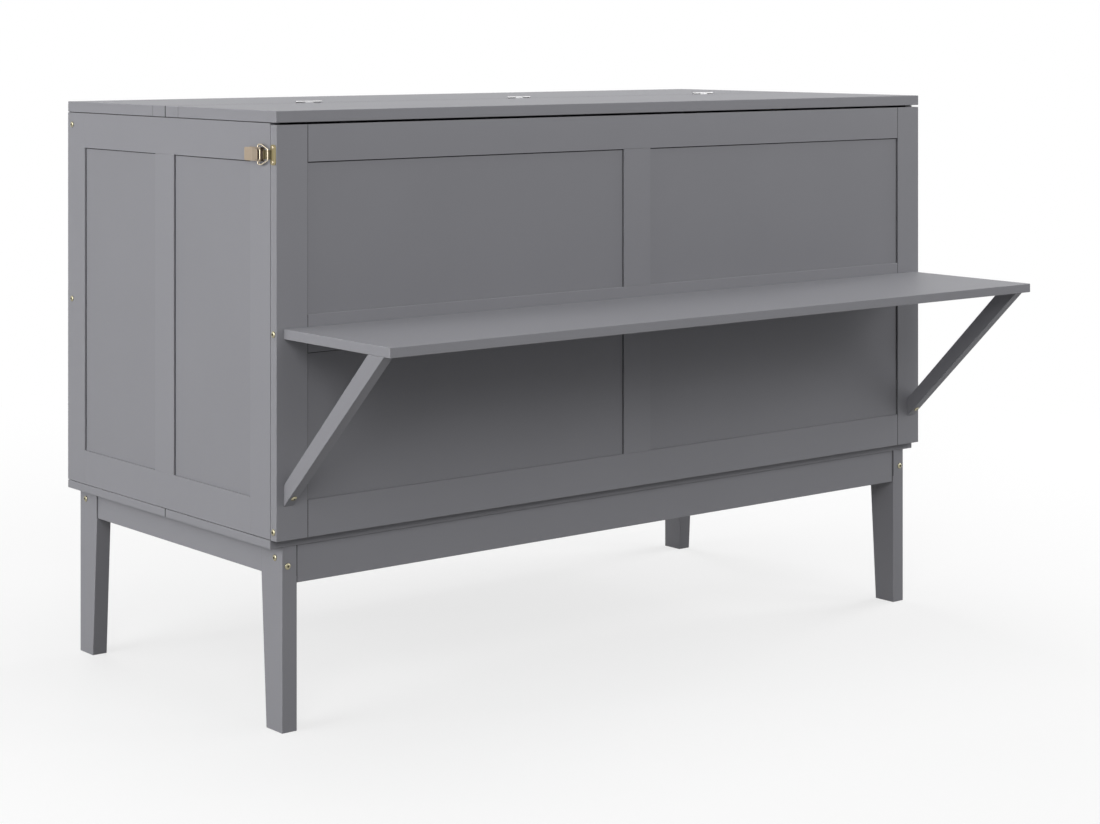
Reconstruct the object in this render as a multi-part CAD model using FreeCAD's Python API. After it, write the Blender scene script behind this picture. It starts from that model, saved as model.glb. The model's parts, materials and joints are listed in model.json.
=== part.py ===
import FreeCAD, Part
import math
import os
from FreeCAD import Placement, Rotation, Vector

# A cabinet bed, in millimetres. Closed, it is a panelled chest on four tapered legs, with a
# fixed shelf on its drop front. The front half of the lid folds back over the rear half, the
# front drops forward until the shelf's edge stands just over the floor as its support, and a
# third bed section unfolds from the front's inner face. Two draw latches hold the front shut.
# Frame: +Z up, the floor at z = 0, the front faces -Y, the origin under the middle of the box.

# ---- driving dimensions: carcass -------------------------------------------------------
CABINET_WIDTH = 1590.0        # over the lid, the sides and the base boards
CABINET_DEPTH = 740.0         # from the front's outer face to the lid's rear edge
CABINET_HEIGHT = 1060.0       # top of the lid
LID_THICKNESS = 20.0
LID_LIPPING = 45.0            # solid strip along each lid half's hinged edge
SPLIT_FROM_FACE = 370.0       # where the lid and the base boards are divided
SPLIT_GAP = 0.8
BASE_THICKNESS = 15.0
SIDE_THICKNESS = 19.0
SIDE_FRONT_STILE = 63.0
SIDE_MIDDLE_STILE = 66.0
SIDE_REAR_STILE = 67.0
SIDE_TOP_RAIL = 67.0
SIDE_BOTTOM_RAIL = 65.0
SIDE_STILE_SHIFT = 3.0        # middle stile's centre behind the split
BACK_THICKNESS = 19.0
BACK_RECESS = 7.5             # back's outer face inside the lid's rear edge
BACK_STILE = 70.0
PANEL_THICKNESS = 6.0         # thin panels held in the frames' grooves
PANEL_RECESS = 3.2            # a panel's face behind its frame's outer face
PANEL_TONGUE = 8.0            # how far a panel runs into its groove
GROOVE_CLEARANCE = 0.2
EASE = 0.7                    # eased edge of every board

# ---- driving dimensions: legs and aprons -----------------------------------------------
LEG_HEIGHT = 317.4
LEG_WIDTH = 30.0
LEG_DEPTH = 66.0              # at the apron
LEG_FOOT_DEPTH = 50.0         # at the floor, tapered on the inner side
LEG_SIDE_INSET = 25.0
LEG_FRONT_SETBACK = 1.6       # behind the carcass's front edges
LEG_REAR_SETBACK = 2.7
FRONT_APRON_HEIGHT = 65.0
FRONT_APRON_THICKNESS = 30.0
SIDE_APRON_HEIGHT = 53.0
SIDE_APRON_THICKNESS = 18.0
APRON_SETBACK = 2.0           # behind the legs' outer faces
CROSS_RAIL_HEIGHT = 40.0
CROSS_RAIL_THICKNESS = 30.0
CORNER_BLOCK_HEIGHT = 38.0
CORNER_BLOCK_REACH = 64.0
CLEAT = 20.0                  # square battens that carry the fixed half of the lid
CLEAT_START = 20.0            # behind the split

# ---- driving dimensions: drop front, shelf and struts ----------------------------------
FRONT_THICKNESS = 18.5
FRONT_GAP = 0.5               # between the drop front and the carcass
FRONT_SIDE_INSET = 0.5
FRONT_TOP_GAP = 4.0           # under the lid
FRONT_STILE = 63.0
FRONT_RAIL = 64.0
FRONT_CENTRE_STILE = 66.5
CENTRE_STILE_SHIFT = 13.0     # the centre stile stands this far right of the middle
MIDDLE_RAIL_HEIGHT = 65.0
MIDDLE_RAIL_CENTRE = 679.5    # above the floor
FOLDED_FLOOR_GAP = 1.65       # under the shelf's edge and the leaf's feet when lowered
SHELF_THICKNESS = 17.0
SHELF_END_INSET = 14.5
SHELF_BELOW_RAIL_TOP = 21.0
STRUT_WIDTH = 20.0
STRUT_DROP = 284.0            # from the shelf's underside to the strut's lowest corner
STRUT_REACH = 294.4           # from the front's face to the strut's outer corner
STRUT_FOOT = 36.7             # vertical cut on the front
STRUT_HEAD = 45.0             # level cut under the shelf

# ---- driving dimensions: fold-out leaf -------------------------------------------------
LEAF_BASE_GAP = 56.6          # folded leaf's lower end above the base boards
LEAF_SIDE_CLEARANCE = 14.0
LEAF_BOARD = 8.0
LEAF_RAIL_THICKNESS = 18.0
LEAF_RAIL_WIDTH = 40.0
LEAF_PIN_DROP = 3.0           # leaf's hinge line under the front's top edge
LEAF_END_GAP = 4.0            # from the leaf's hinge line to its edge
LEAF_LEG_WIDTH = 30.0
LEAF_LEG_THICKNESS = 16.0
LEAF_LEG_CLEARANCE = 0.6
LEAF_LEG_FROM_END = 12.0      # pivot to the leaf's end rail
SHAFT_RADIUS = 5.0
SHAFT_END = 15.0              # how far the shaft runs into each outer rail
RUNNING_CLEARANCE = 0.05

# ---- driving dimensions: hinges and fasteners ------------------------------------------
HINGE_LENGTH = 57.0
HINGE_SPACING = 504.0
HINGE_WIDTH = 24.0            # from the pin to a leaf's far edge
LID_HINGE_WIDTH = 19.0        # the same for the lid's hinges, let into the lid's joint
LID_HINGE_SHIFT = 17.5        # the lid's hinges stand this far right of the middle
HINGE_PLATE = 1.5
HINGE_BARREL_RADIUS = 1.9
HINGE_PIN_RADIUS = 1.0
HINGE_PLATE_START = 2.3       # the plate begins this far from the pin
KNUCKLE_GAP = 0.3
MORTISE_CLEARANCE = 0.15
LID_PIN_RISE = 2.05           # lid hinge's pin over the lid
BOLT_HEAD_RADIUS = 5.7
BOLT_HEAD_HEIGHT = 2.6
BOLT_HEAD_RIM = 0.7
BOLT_RADIUS = 3.0
BOLT_SOCKET = 4.0             # across flats
BOLT_SOCKET_DEPTH = 1.4
HOLE_CLEARANCE = 0.1
BOLT_BITE = 22.0              # thread length in the second piece
BACK_BOLT_DROP = 24.0         # upper back bolt under the lid
FRONT_BOLT_RISE = 15.0        # lower frame bolt over the front's bottom edge
MIDDLE_BOLT_RISE = 2.5        # middle bolts over the middle rail's centre line
LEG_SIDE_BOLT_IN = 22.4       # from the leg's front or rear face
LEG_SIDE_BOLT_DROP = 21.5     # under the base board
LEG_FACE_BOLT_DROP = 34.0
STRUT_BOLT_RISE = 16.0        # up from the strut's lowest corner
STRUT_BOLT_LENGTH = 33.0
SHELF_SCREWS = 4
SHELF_SCREW_RADIUS = 2.2
SHELF_SCREW_HEAD_RADIUS = 4.2
SHELF_SCREW_HEAD = 2.2
SHELF_SCREW_BITE = 40.0

# ---- driving dimensions: draw latches --------------------------------------------------
LATCH_DROP = 54.5             # latch's centre line under the lid
LATCH_PLATE = 1.5
LATCH_WIDTH = 24.0
LATCH_PIVOT_FROM_FACE = 41.5
LATCH_PIVOT_OUT = 6.0         # lever pin's distance from the side
LATCH_PIN_RADIUS = 1.25
LATCH_EAR_RADIUS = 4.5
LATCH_EAR = 1.5
LATCH_TAIL = 42.5             # from the lever pin to the base plate's rear end
LEVER_SIDE_GAP = 0.4
LEVER_CHEEK_RADIUS = 4.2
LEVER_LIFT = 7.0              # lever plate over the side
LEVER_TIP_LENGTH = 20.0       # turned-out finger tip
LEVER_TIP_RISE = 2.4
BAIL_PIVOT_BACK = 8.0         # behind the lever pin
BAIL_PIVOT_OUT = 5.0
BAIL_WIRE_RADIUS = 1.25
BAIL_HALF_WIDTH = 17.0
BAIL_NOSE_HALF_WIDTH = 9.5
BAIL_SHOULDER = 11.0          # from the bail's pivot to where its sides turn in
BAIL_LENGTH = 31.0
BAIL_BEND = 2.6
CATCH_MARGIN = 1.5            # catch plate inside the front's faces
CATCH_HALF_HEIGHT = 17.5
CATCH_CORNER = 5.0
CATCH_TONGUE_HALF = 8.0
CATCH_TONGUE_OUT = 0.6        # tongue's clearance over the side
CATCH_LIP = 1.3               # hook lip over the tongue
CATCH_LIP_FROM_FACE = 36.0
SCREW_RADIUS = 1.4
SCREW_HEAD_RADIUS = 2.6
SCREW_HEAD_HEIGHT = 1.6
SCREW_LENGTH = 13.0
CATCH_SCREW_OFFSET = 12.5     # above and below the latch's centre line
BASE_SCREWS_BACK = (19.0, 34.0)    # base plate's screws behind the lever pin

# ---- places worked out from them -------------------------------------------------------
BASE_TOP = LEG_HEIGHT + BASE_THICKNESS
LID_BOTTOM = CABINET_HEIGHT - LID_THICKNESS
SIDE_X = CABINET_WIDTH / 2
INNER_X = SIDE_X - SIDE_THICKNESS
SHELF_DEPTH = BASE_TOP - FRONT_THICKNESS - FRONT_GAP / 2 - FOLDED_FLOOR_GAP
FACE_Y = -(CABINET_DEPTH - SHELF_DEPTH) / 2
REAR_Y = FACE_Y + CABINET_DEPTH
INNER_FACE_Y = FACE_Y + FRONT_THICKNESS
CASE_Y = INNER_FACE_Y + FRONT_GAP
SPLIT_Y = FACE_Y + SPLIT_FROM_FACE
BACK_OUTER_Y = REAR_Y - BACK_RECESS
BACK_INNER_Y = BACK_OUTER_Y - BACK_THICKNESS
FRONT_PIN_Y = INNER_FACE_Y + FRONT_GAP / 2
FRONT_X = SIDE_X - FRONT_SIDE_INSET
FRONT_TOP = LID_BOTTOM - FRONT_TOP_GAP
LEAF_PIN_Z = FRONT_TOP - LEAF_PIN_DROP
HINGE_CENTRES = (-HINGE_SPACING, 0.0, HINGE_SPACING)

parts = {}


# ---- solids ----------------------------------------------------------------------------
def box(x0, x1, y0, y1, z0, z1):
    return Part.makeBox(x1 - x0, y1 - y0, z1 - z0, Vector(x0, y0, z0))


def eased(solid):
    return solid.makeChamfer(EASE, solid.Edges)


def board(x0, x1, y0, y1, z0, z1):
    return eased(box(x0, x1, y0, y1, z0, z1))


def prism(corners, push):
    """A straight prism over a closed outline, pushed along one vector."""
    outline = Part.makePolygon(corners + corners[:1])
    return Part.Face(outline).extrude(push)


def prism_along_x(outline, x0, x1):
    return prism([Vector(x0, y, z) for y, z in outline], Vector(x1 - x0, 0, 0))


def prism_along_z(outline, z0, z1):
    return prism([Vector(x, y, z0) for x, y in outline], Vector(0, 0, z1 - z0))


def rod_along_x(radius, x0, x1, y, z):
    return Part.makeCylinder(radius, x1 - x0, Vector(x0, y, z), Vector(1, 0, 0))


def rod_along_z(radius, x, y, z0, z1):
    return Part.makeCylinder(radius, z1 - z0, Vector(x, y, z0), Vector(0, 0, 1))


def mirrored(solid):
    return solid.mirror(Vector(0, 0, 0), Vector(1, 0, 0))


def both_sides(solids):
    return [mirrored(solid) for solid in solids] + list(solids)


def cut(solids, tools):
    tool = Part.makeCompound(tools)
    return [piece for solid in solids for piece in solid.cut(tool).Solids]


def cut_nodes(names, tools):
    for name in names:
        parts[name] = cut(parts[name], tools)


def fused(solids):
    first = solids[0].fuse(solids[1:])
    return first.removeSplitter().Solids[0]


# ---- fasteners: each is built along +Z, its head outwards, then stood on its seat ------
def stood(shape, seat, outward):
    placed = shape.copy()
    placed.Placement = Placement(seat, Rotation(Vector(0, 0, 1), outward)) * shape.Placement
    return placed


def button_bolt(seat, outward, length):
    """A domed bolt with a six-sided socket, and the hole that takes its shank."""
    rim = Vector(BOLT_HEAD_RADIUS, 0, BOLT_HEAD_RIM)
    crown_rise = BOLT_HEAD_HEIGHT - BOLT_HEAD_RIM
    diagonal = math.sqrt(0.5)
    shoulder = Vector(BOLT_HEAD_RADIUS * diagonal, 0, BOLT_HEAD_RIM + crown_rise * diagonal)
    crown = Vector(0, 0, BOLT_HEAD_HEIGHT)
    corners = [
        crown,
        Vector(0, 0, -length),
        Vector(BOLT_RADIUS, 0, -length),
        Vector(BOLT_RADIUS, 0, 0),
        Vector(BOLT_HEAD_RADIUS, 0, 0),
        rim,
    ]
    edges = [Part.LineSegment(a, b).toShape() for a, b in zip(corners, corners[1:])]
    edges.append(Part.Arc(rim, shoulder, crown).toShape())
    whole = Part.Face(Part.Wire(edges)).revolve(Vector(0, 0, 0), Vector(0, 0, 1), 360)
    corner = BOLT_SOCKET / math.sqrt(3)
    floor = BOLT_HEAD_HEIGHT - BOLT_SOCKET_DEPTH
    turns = [math.radians(60 * turn) for turn in range(6)]
    hexagon = [(corner * math.cos(turn), corner * math.sin(turn)) for turn in turns]
    socket = prism_along_z(hexagon, floor, BOLT_HEAD_HEIGHT + BOLT_HEAD_RIM)
    bolt = whole.cut(socket).Solids[0]
    hole = Part.makeCylinder(BOLT_RADIUS + HOLE_CLEARANCE, length + 0.5)
    hole.translate(Vector(0, 0, -length - 0.5))
    return stood(bolt, seat, outward), stood(hole, seat, outward)


def round_screw(seat, outward, length=SCREW_LENGTH):
    shank = Part.makeCylinder(SCREW_RADIUS, length, Vector(0, 0, -length))
    head = Part.makeCylinder(SCREW_HEAD_RADIUS, SCREW_HEAD_HEIGHT)
    crown = head.Edges[0] if head.Edges[0].BoundBox.ZMin > 0.5 else head.Edges[2]
    head = head.makeFillet(SCREW_HEAD_HEIGHT * 0.6, [crown])
    hole = Part.makeCylinder(SCREW_RADIUS + HOLE_CLEARANCE, length + 0.5)
    hole.translate(Vector(0, 0, -length - 0.5))
    screw = fused([head, shank])
    return stood(screw, seat, outward), stood(hole, seat, outward)


def flush_screw(seat, outward, length):
    """A flat-headed screw whose head lies level with the surface."""
    head = Part.makeCylinder(SHELF_SCREW_HEAD_RADIUS, SHELF_SCREW_HEAD)
    head.translate(Vector(0, 0, -SHELF_SCREW_HEAD))
    shank = Part.makeCylinder(SHELF_SCREW_RADIUS, length, Vector(0, 0, -length))
    wide = Part.makeCylinder(SHELF_SCREW_HEAD_RADIUS + HOLE_CLEARANCE, SHELF_SCREW_HEAD)
    wide.translate(Vector(0, 0, -SHELF_SCREW_HEAD))
    deep = Part.makeCylinder(SHELF_SCREW_RADIUS + HOLE_CLEARANCE, length + 0.5)
    deep.translate(Vector(0, 0, -length - 0.5))
    screw = stood(fused([head, shank]), seat, outward)
    return screw, stood(fused([wide, deep]), seat, outward)


# ---- framed walls ----------------------------------------------------------------------
def across_x(t0, t1):
    """Boards of a wall that runs along X, with its thickness along Y."""
    return lambda u0, u1, z0, z1, lo=t0, hi=t1: (u0, u1, lo, hi, z0, z1)


def across_y(t0, t1):
    """Boards of a wall that runs along Y, with its thickness along X."""
    return lambda u0, u1, z0, z1, lo=t0, hi=t1: (lo, hi, u0, u1, z0, z1)


def framed_wall(place, outer, inward, ends, widths, rails, middle):
    """End stiles, rails between them, a middle stile broken by the rails, grooved panels.

    Outer is the wall's outer face, and inward is -1 or 1, the way from it into the cabinet.
    """
    u0, u1 = ends
    inner0 = u0 + widths[0]
    inner1 = u1 - widths[1]
    bottom = rails[0][0]
    top = rails[-1][1]
    stiles = [board(*place(u0, inner0, bottom, top)), board(*place(inner1, u1, bottom, top))]
    rail_solids = [board(*place(inner0, inner1, low, high)) for low, high in rails]
    middles = []
    panels = []
    grooves = []
    shown = outer + inward * PANEL_RECESS
    lo, hi = sorted((shown, shown + inward * PANEL_THICKNESS))
    for (_, below), (above, _) in zip(rails, rails[1:]):
        middles.append(board(*place(middle[0], middle[1], below, above)))
        for left, right in ((inner0, middle[0]), (middle[1], inner1)):
            tongue = PANEL_TONGUE
            panels.append(box(*place(left - tongue, right + tongue,
                                     below - tongue, above + tongue, lo, hi)))
            reach = PANEL_TONGUE + GROOVE_CLEARANCE
            grooves.append(box(*place(left - reach, right + reach,
                                      below - reach, above + reach,
                                      lo - GROOVE_CLEARANCE, hi + GROOVE_CLEARANCE)))
    return {
        "stiles": cut(stiles, grooves),
        "rails": cut(rail_solids, grooves),
        "middles": cut(middles, grooves),
        "panels": panels,
    }


# ---- butt hinges -----------------------------------------------------------------------
def hinge_slab(x0, x1, pin, run, depth, s0, s1, t0, t1):
    """A plate beside a pin along X: from s0 to s1 along run, from t0 to t1 along depth."""
    outline = []
    for s, t in ((s0, t0), (s1, t0), (s1, t1), (s0, t1)):
        outline.append((pin[0] + run[0] * s + depth[0] * t, pin[1] + run[1] * s + depth[1] * t))
    return prism_along_x(outline, x0, x1)


def hinge_leaf(centre, pin, run, depth, offset, width, knuckles):
    """One leaf of a hinge, with the knuckles that belong to it."""
    half = HINGE_LENGTH / 2
    inner = offset + HINGE_PLATE
    solids = [hinge_slab(centre - half, centre + half, pin, run, depth,
                         HINGE_PLATE_START, width, offset, inner)]
    for low, high in knuckles:
        solids.append(hinge_slab(centre + low, centre + high, pin, run, depth,
                                 0, HINGE_PLATE_START, offset, inner))
        solids.append(rod_along_x(HINGE_BARREL_RADIUS, centre + low, centre + high, *pin))
    bore = rod_along_x(HINGE_PIN_RADIUS + RUNNING_CLEARANCE, centre - half - 1,
                       centre + half + 1, *pin)
    return fused(solids).cut(bore).Solids[0]


def hinge_mortise(centre, pin, run, depth, offset, width):
    """The pocket for a let-in leaf, with the groove that its barrel turns in."""
    half = HINGE_LENGTH / 2 + MORTISE_CLEARANCE
    pocket = hinge_slab(centre - half, centre + half, pin, run, depth, -HINGE_BARREL_RADIUS,
                        width + MORTISE_CLEARANCE, offset - 1.0, offset + HINGE_PLATE)
    groove = rod_along_x(HINGE_BARREL_RADIUS + 0.5, centre - half, centre + half, *pin)
    return [pocket, groove]


def hinge_set(pin, fixed, moving, centres=HINGE_CENTRES):
    """Three hinges on one pin line. Fixed and moving are (run, depth, offset, width)."""
    half = HINGE_LENGTH / 2
    third = HINGE_LENGTH / 6
    outer = ((-half, -third - KNUCKLE_GAP / 2), (third + KNUCKLE_GAP / 2, half))
    inner = ((-third + KNUCKLE_GAP / 2, third - KNUCKLE_GAP / 2),)
    fixed_leaves = [hinge_leaf(c, pin, *fixed, outer) for c in centres]
    moving_leaves = [hinge_leaf(c, pin, *moving, inner) for c in centres]
    pins = [rod_along_x(HINGE_PIN_RADIUS, c - half, c + half, *pin) for c in centres]
    return fixed_leaves, moving_leaves, pins


# ---- base: legs, aprons, boards --------------------------------------------------------
def leg_y_range(rear):
    if rear:
        outer = REAR_Y - LEG_REAR_SETBACK
        return outer, outer - LEG_DEPTH, outer - LEG_FOOT_DEPTH
    outer = CASE_Y + LEG_FRONT_SETBACK
    return outer, outer + LEG_DEPTH, outer + LEG_FOOT_DEPTH


def make_legs():
    taper_top = LEG_HEIGHT - SIDE_APRON_HEIGHT
    x1 = SIDE_X - LEG_SIDE_INSET
    for end, rear in (("front", False), ("rear", True)):
        outer, inner, foot = leg_y_range(rear)
        outline = [(outer, 0), (foot, 0), (inner, taper_top), (inner, LEG_HEIGHT),
                   (outer, LEG_HEIGHT)]
        leg = eased(prism_along_x(outline, x1 - LEG_WIDTH, x1))
        parts["leg_" + end + "_right"] = [leg]
        parts["leg_" + end + "_left"] = [mirrored(leg)]


def make_aprons():
    leg_out = SIDE_X - LEG_SIDE_INSET
    leg_in = leg_out - LEG_WIDTH
    front_outer, front_inner, _ = leg_y_range(False)
    rear_outer, rear_inner, _ = leg_y_range(True)
    low = LEG_HEIGHT - FRONT_APRON_HEIGHT
    front_y = front_outer + APRON_SETBACK
    rear_y = rear_outer - APRON_SETBACK
    parts["apron_front"] = [board(-leg_in, leg_in, front_y, front_y + FRONT_APRON_THICKNESS,
                                  low, LEG_HEIGHT)]
    parts["apron_rear"] = [board(-leg_in, leg_in, rear_y - FRONT_APRON_THICKNESS, rear_y,
                                 low, LEG_HEIGHT)]
    side_out = leg_out - APRON_SETBACK
    side_in = side_out - SIDE_APRON_THICKNESS
    side = board(side_in, side_out, front_inner, rear_inner,
                 LEG_HEIGHT - SIDE_APRON_HEIGHT, LEG_HEIGHT)
    parts["apron_right"] = [side]
    parts["apron_left"] = [mirrored(side)]
    half = CROSS_RAIL_THICKNESS / 2
    parts["base_cross_rail"] = [board(-side_in, side_in, SPLIT_Y - half, SPLIT_Y + half,
                                      LEG_HEIGHT - CROSS_RAIL_HEIGHT, LEG_HEIGHT)]
    blocks = []
    corners = ((front_y + FRONT_APRON_THICKNESS, front_inner, 1),
               (rear_y - FRONT_APRON_THICKNESS, rear_inner, -1))
    for apron_y, leg_y, inward in corners:
        outline = [
            (side_in, leg_y),
            (leg_in, leg_y),
            (leg_in, apron_y),
            (leg_in - CORNER_BLOCK_REACH, apron_y),
            (side_in, leg_y + inward * CORNER_BLOCK_REACH),
        ]
        blocks.append(prism_along_z(outline, LEG_HEIGHT - CORNER_BLOCK_HEIGHT, LEG_HEIGHT))
    parts["corner_blocks"] = both_sides(blocks)


def make_base_boards():
    gap = SPLIT_GAP / 2
    parts["base_board_front"] = [board(-SIDE_X, SIDE_X, CASE_Y, SPLIT_Y - gap,
                                       LEG_HEIGHT, BASE_TOP)]
    parts["base_board_rear"] = [board(-SIDE_X, SIDE_X, SPLIT_Y + gap, REAR_Y,
                                      LEG_HEIGHT, BASE_TOP)]


# ---- sides, back and lid ---------------------------------------------------------------
def make_sides():
    half = SIDE_MIDDLE_STILE / 2
    rails = [(BASE_TOP, BASE_TOP + SIDE_BOTTOM_RAIL), (LID_BOTTOM - SIDE_TOP_RAIL, LID_BOTTOM)]
    wall = framed_wall(across_y(INNER_X, SIDE_X), SIDE_X, -1, (CASE_Y, REAR_Y),
                       (SIDE_FRONT_STILE, SIDE_REAR_STILE), rails,
                       (SPLIT_Y + SIDE_STILE_SHIFT - half, SPLIT_Y + SIDE_STILE_SHIFT + half))
    for name, solids in (("stiles", wall["stiles"] + wall["middles"]),
                         ("rails", wall["rails"]),
                         ("panels", wall["panels"])):
        parts["side_right_" + name] = solids
        parts["side_left_" + name] = [mirrored(solid) for solid in solids]


def make_back():
    half = BACK_STILE / 2
    rails = [(BASE_TOP, BASE_TOP + BACK_STILE), (LID_BOTTOM - BACK_STILE, LID_BOTTOM)]
    wall = framed_wall(across_x(BACK_INNER_Y, BACK_OUTER_Y), BACK_OUTER_Y, -1,
                       (-INNER_X, INNER_X), (BACK_STILE, BACK_STILE), rails, (-half, half))
    parts["back_frame"] = wall["stiles"] + wall["rails"] + wall["middles"]
    parts["back_panels"] = wall["panels"]


def make_lid():
    gap = SPLIT_GAP / 2
    lipping_front = SPLIT_Y - LID_LIPPING
    lipping_rear = SPLIT_Y + LID_LIPPING
    parts["lid_front"] = [
        board(-SIDE_X, SIDE_X, FACE_Y, lipping_front, LID_BOTTOM, CABINET_HEIGHT),
        board(-SIDE_X, SIDE_X, lipping_front, SPLIT_Y - gap, LID_BOTTOM, CABINET_HEIGHT),
    ]
    parts["lid_rear"] = [
        board(-SIDE_X, SIDE_X, SPLIT_Y + gap, lipping_rear, LID_BOTTOM, CABINET_HEIGHT),
        board(-SIDE_X, SIDE_X, lipping_rear, REAR_Y, LID_BOTTOM, CABINET_HEIGHT),
    ]
    low = LID_BOTTOM - CLEAT
    side = board(INNER_X - CLEAT, INNER_X, SPLIT_Y + CLEAT_START, BACK_INNER_Y, low, LID_BOTTOM)
    back = board(-INNER_X + CLEAT, INNER_X - CLEAT, BACK_INNER_Y - CLEAT, BACK_INNER_Y,
                 low, LID_BOTTOM)
    parts["lid_cleats"] = both_sides([side]) + [back]


# ---- drop front with its shelf ---------------------------------------------------------
def make_front():
    mid_low = MIDDLE_RAIL_CENTRE - MIDDLE_RAIL_HEIGHT / 2
    mid_high = MIDDLE_RAIL_CENTRE + MIDDLE_RAIL_HEIGHT / 2
    rails = [(BASE_TOP, BASE_TOP + FRONT_RAIL), (mid_low, mid_high),
             (FRONT_TOP - FRONT_RAIL, FRONT_TOP)]
    half = FRONT_CENTRE_STILE / 2
    wall = framed_wall(across_x(FACE_Y, INNER_FACE_Y), FACE_Y, 1,
                       (-FRONT_X, FRONT_X), (FRONT_STILE, FRONT_STILE), rails,
                       (CENTRE_STILE_SHIFT - half, CENTRE_STILE_SHIFT + half))
    parts["front_stile_left"] = [wall["stiles"][0]]
    parts["front_stile_right"] = [wall["stiles"][1]]
    parts["front_rail_bottom"] = [wall["rails"][0]]
    parts["front_rail_middle"] = [wall["rails"][1]]
    parts["front_rail_top"] = [wall["rails"][2]]
    parts["front_centre_stiles"] = wall["middles"]
    parts["front_panels"] = wall["panels"]


def shelf_top():
    return MIDDLE_RAIL_CENTRE + MIDDLE_RAIL_HEIGHT / 2 - SHELF_BELOW_RAIL_TOP


def make_shelf():
    top = shelf_top()
    under = top - SHELF_THICKNESS
    end = SIDE_X - SHELF_END_INSET
    parts["shelf"] = [board(-end, end, FACE_Y - SHELF_DEPTH, FACE_Y, under, top)]
    foot = under - STRUT_DROP
    outline = [
        (FACE_Y, foot),
        (FACE_Y, foot + STRUT_FOOT),
        (FACE_Y - STRUT_REACH + STRUT_HEAD, under),
        (FACE_Y - STRUT_REACH, under),
    ]
    strut = eased(prism_along_x(outline, end - STRUT_WIDTH, end))
    parts["strut_right"] = [strut]
    parts["strut_left"] = [mirrored(strut)]


# ---- fold-out leaf ---------------------------------------------------------------------
def make_leaf():
    half = INNER_X - LEAF_SIDE_CLEARANCE
    face_y = INNER_FACE_Y + FRONT_GAP
    rail_y = face_y + LEAF_BOARD
    back_y = rail_y + LEAF_RAIL_THICKNESS
    top = LEAF_PIN_Z - LEAF_END_GAP
    bottom = BASE_TOP + LEAF_BASE_GAP
    width = LEAF_RAIL_WIDTH
    parts["leaf_board"] = [board(-half, half, face_y, rail_y, bottom, top)]
    inner = half - width
    outer_rail = board(inner, half, rail_y, back_y, bottom, top)
    upper = board(-inner, inner, rail_y, back_y, top - width, top)
    lower = board(-inner, inner, rail_y, back_y, bottom, bottom + width)
    centre = board(-width / 2, width / 2, rail_y, back_y, bottom + width, top - width)
    pivot_y = (rail_y + back_y) / 2
    pivot_z = bottom + width + LEAF_LEG_FROM_END
    shaft_x = inner + SHAFT_END
    bore = rod_along_x(SHAFT_RADIUS + RUNNING_CLEARANCE, -shaft_x - 0.5, shaft_x + 0.5,
                       pivot_y, pivot_z)
    parts["leaf_rails"] = cut(both_sides([outer_rail]) + [upper, lower, centre], [bore])
    parts["leaf_leg_shaft"] = [rod_along_x(SHAFT_RADIUS, -shaft_x, shaft_x, pivot_y, pivot_z)]
    length = BASE_TOP - (pivot_y - FRONT_PIN_Y) - FOLDED_FLOOR_GAP
    thin = LEAF_LEG_THICKNESS / 2
    legs = []
    outer_x = inner - LEAF_LEG_CLEARANCE
    centre_x = width / 2 + LEAF_LEG_CLEARANCE + LEAF_LEG_WIDTH
    for x1 in (outer_x, centre_x, -outer_x + LEAF_LEG_WIDTH):
        x0 = x1 - LEAF_LEG_WIDTH
        straight = box(x0, x1, pivot_y - thin, pivot_y + thin, pivot_z, pivot_z + length)
        legs.append(fused([straight, rod_along_x(thin, x0, x1, pivot_y, pivot_z)]))
    parts["leaf_legs"] = cut(legs, [bore])


# ---- hinges in their places ------------------------------------------------------------
UP = (0, 1)
DOWN = (0, -1)
FORWARD = (-1, 0)
BACKWARD = (1, 0)


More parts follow.
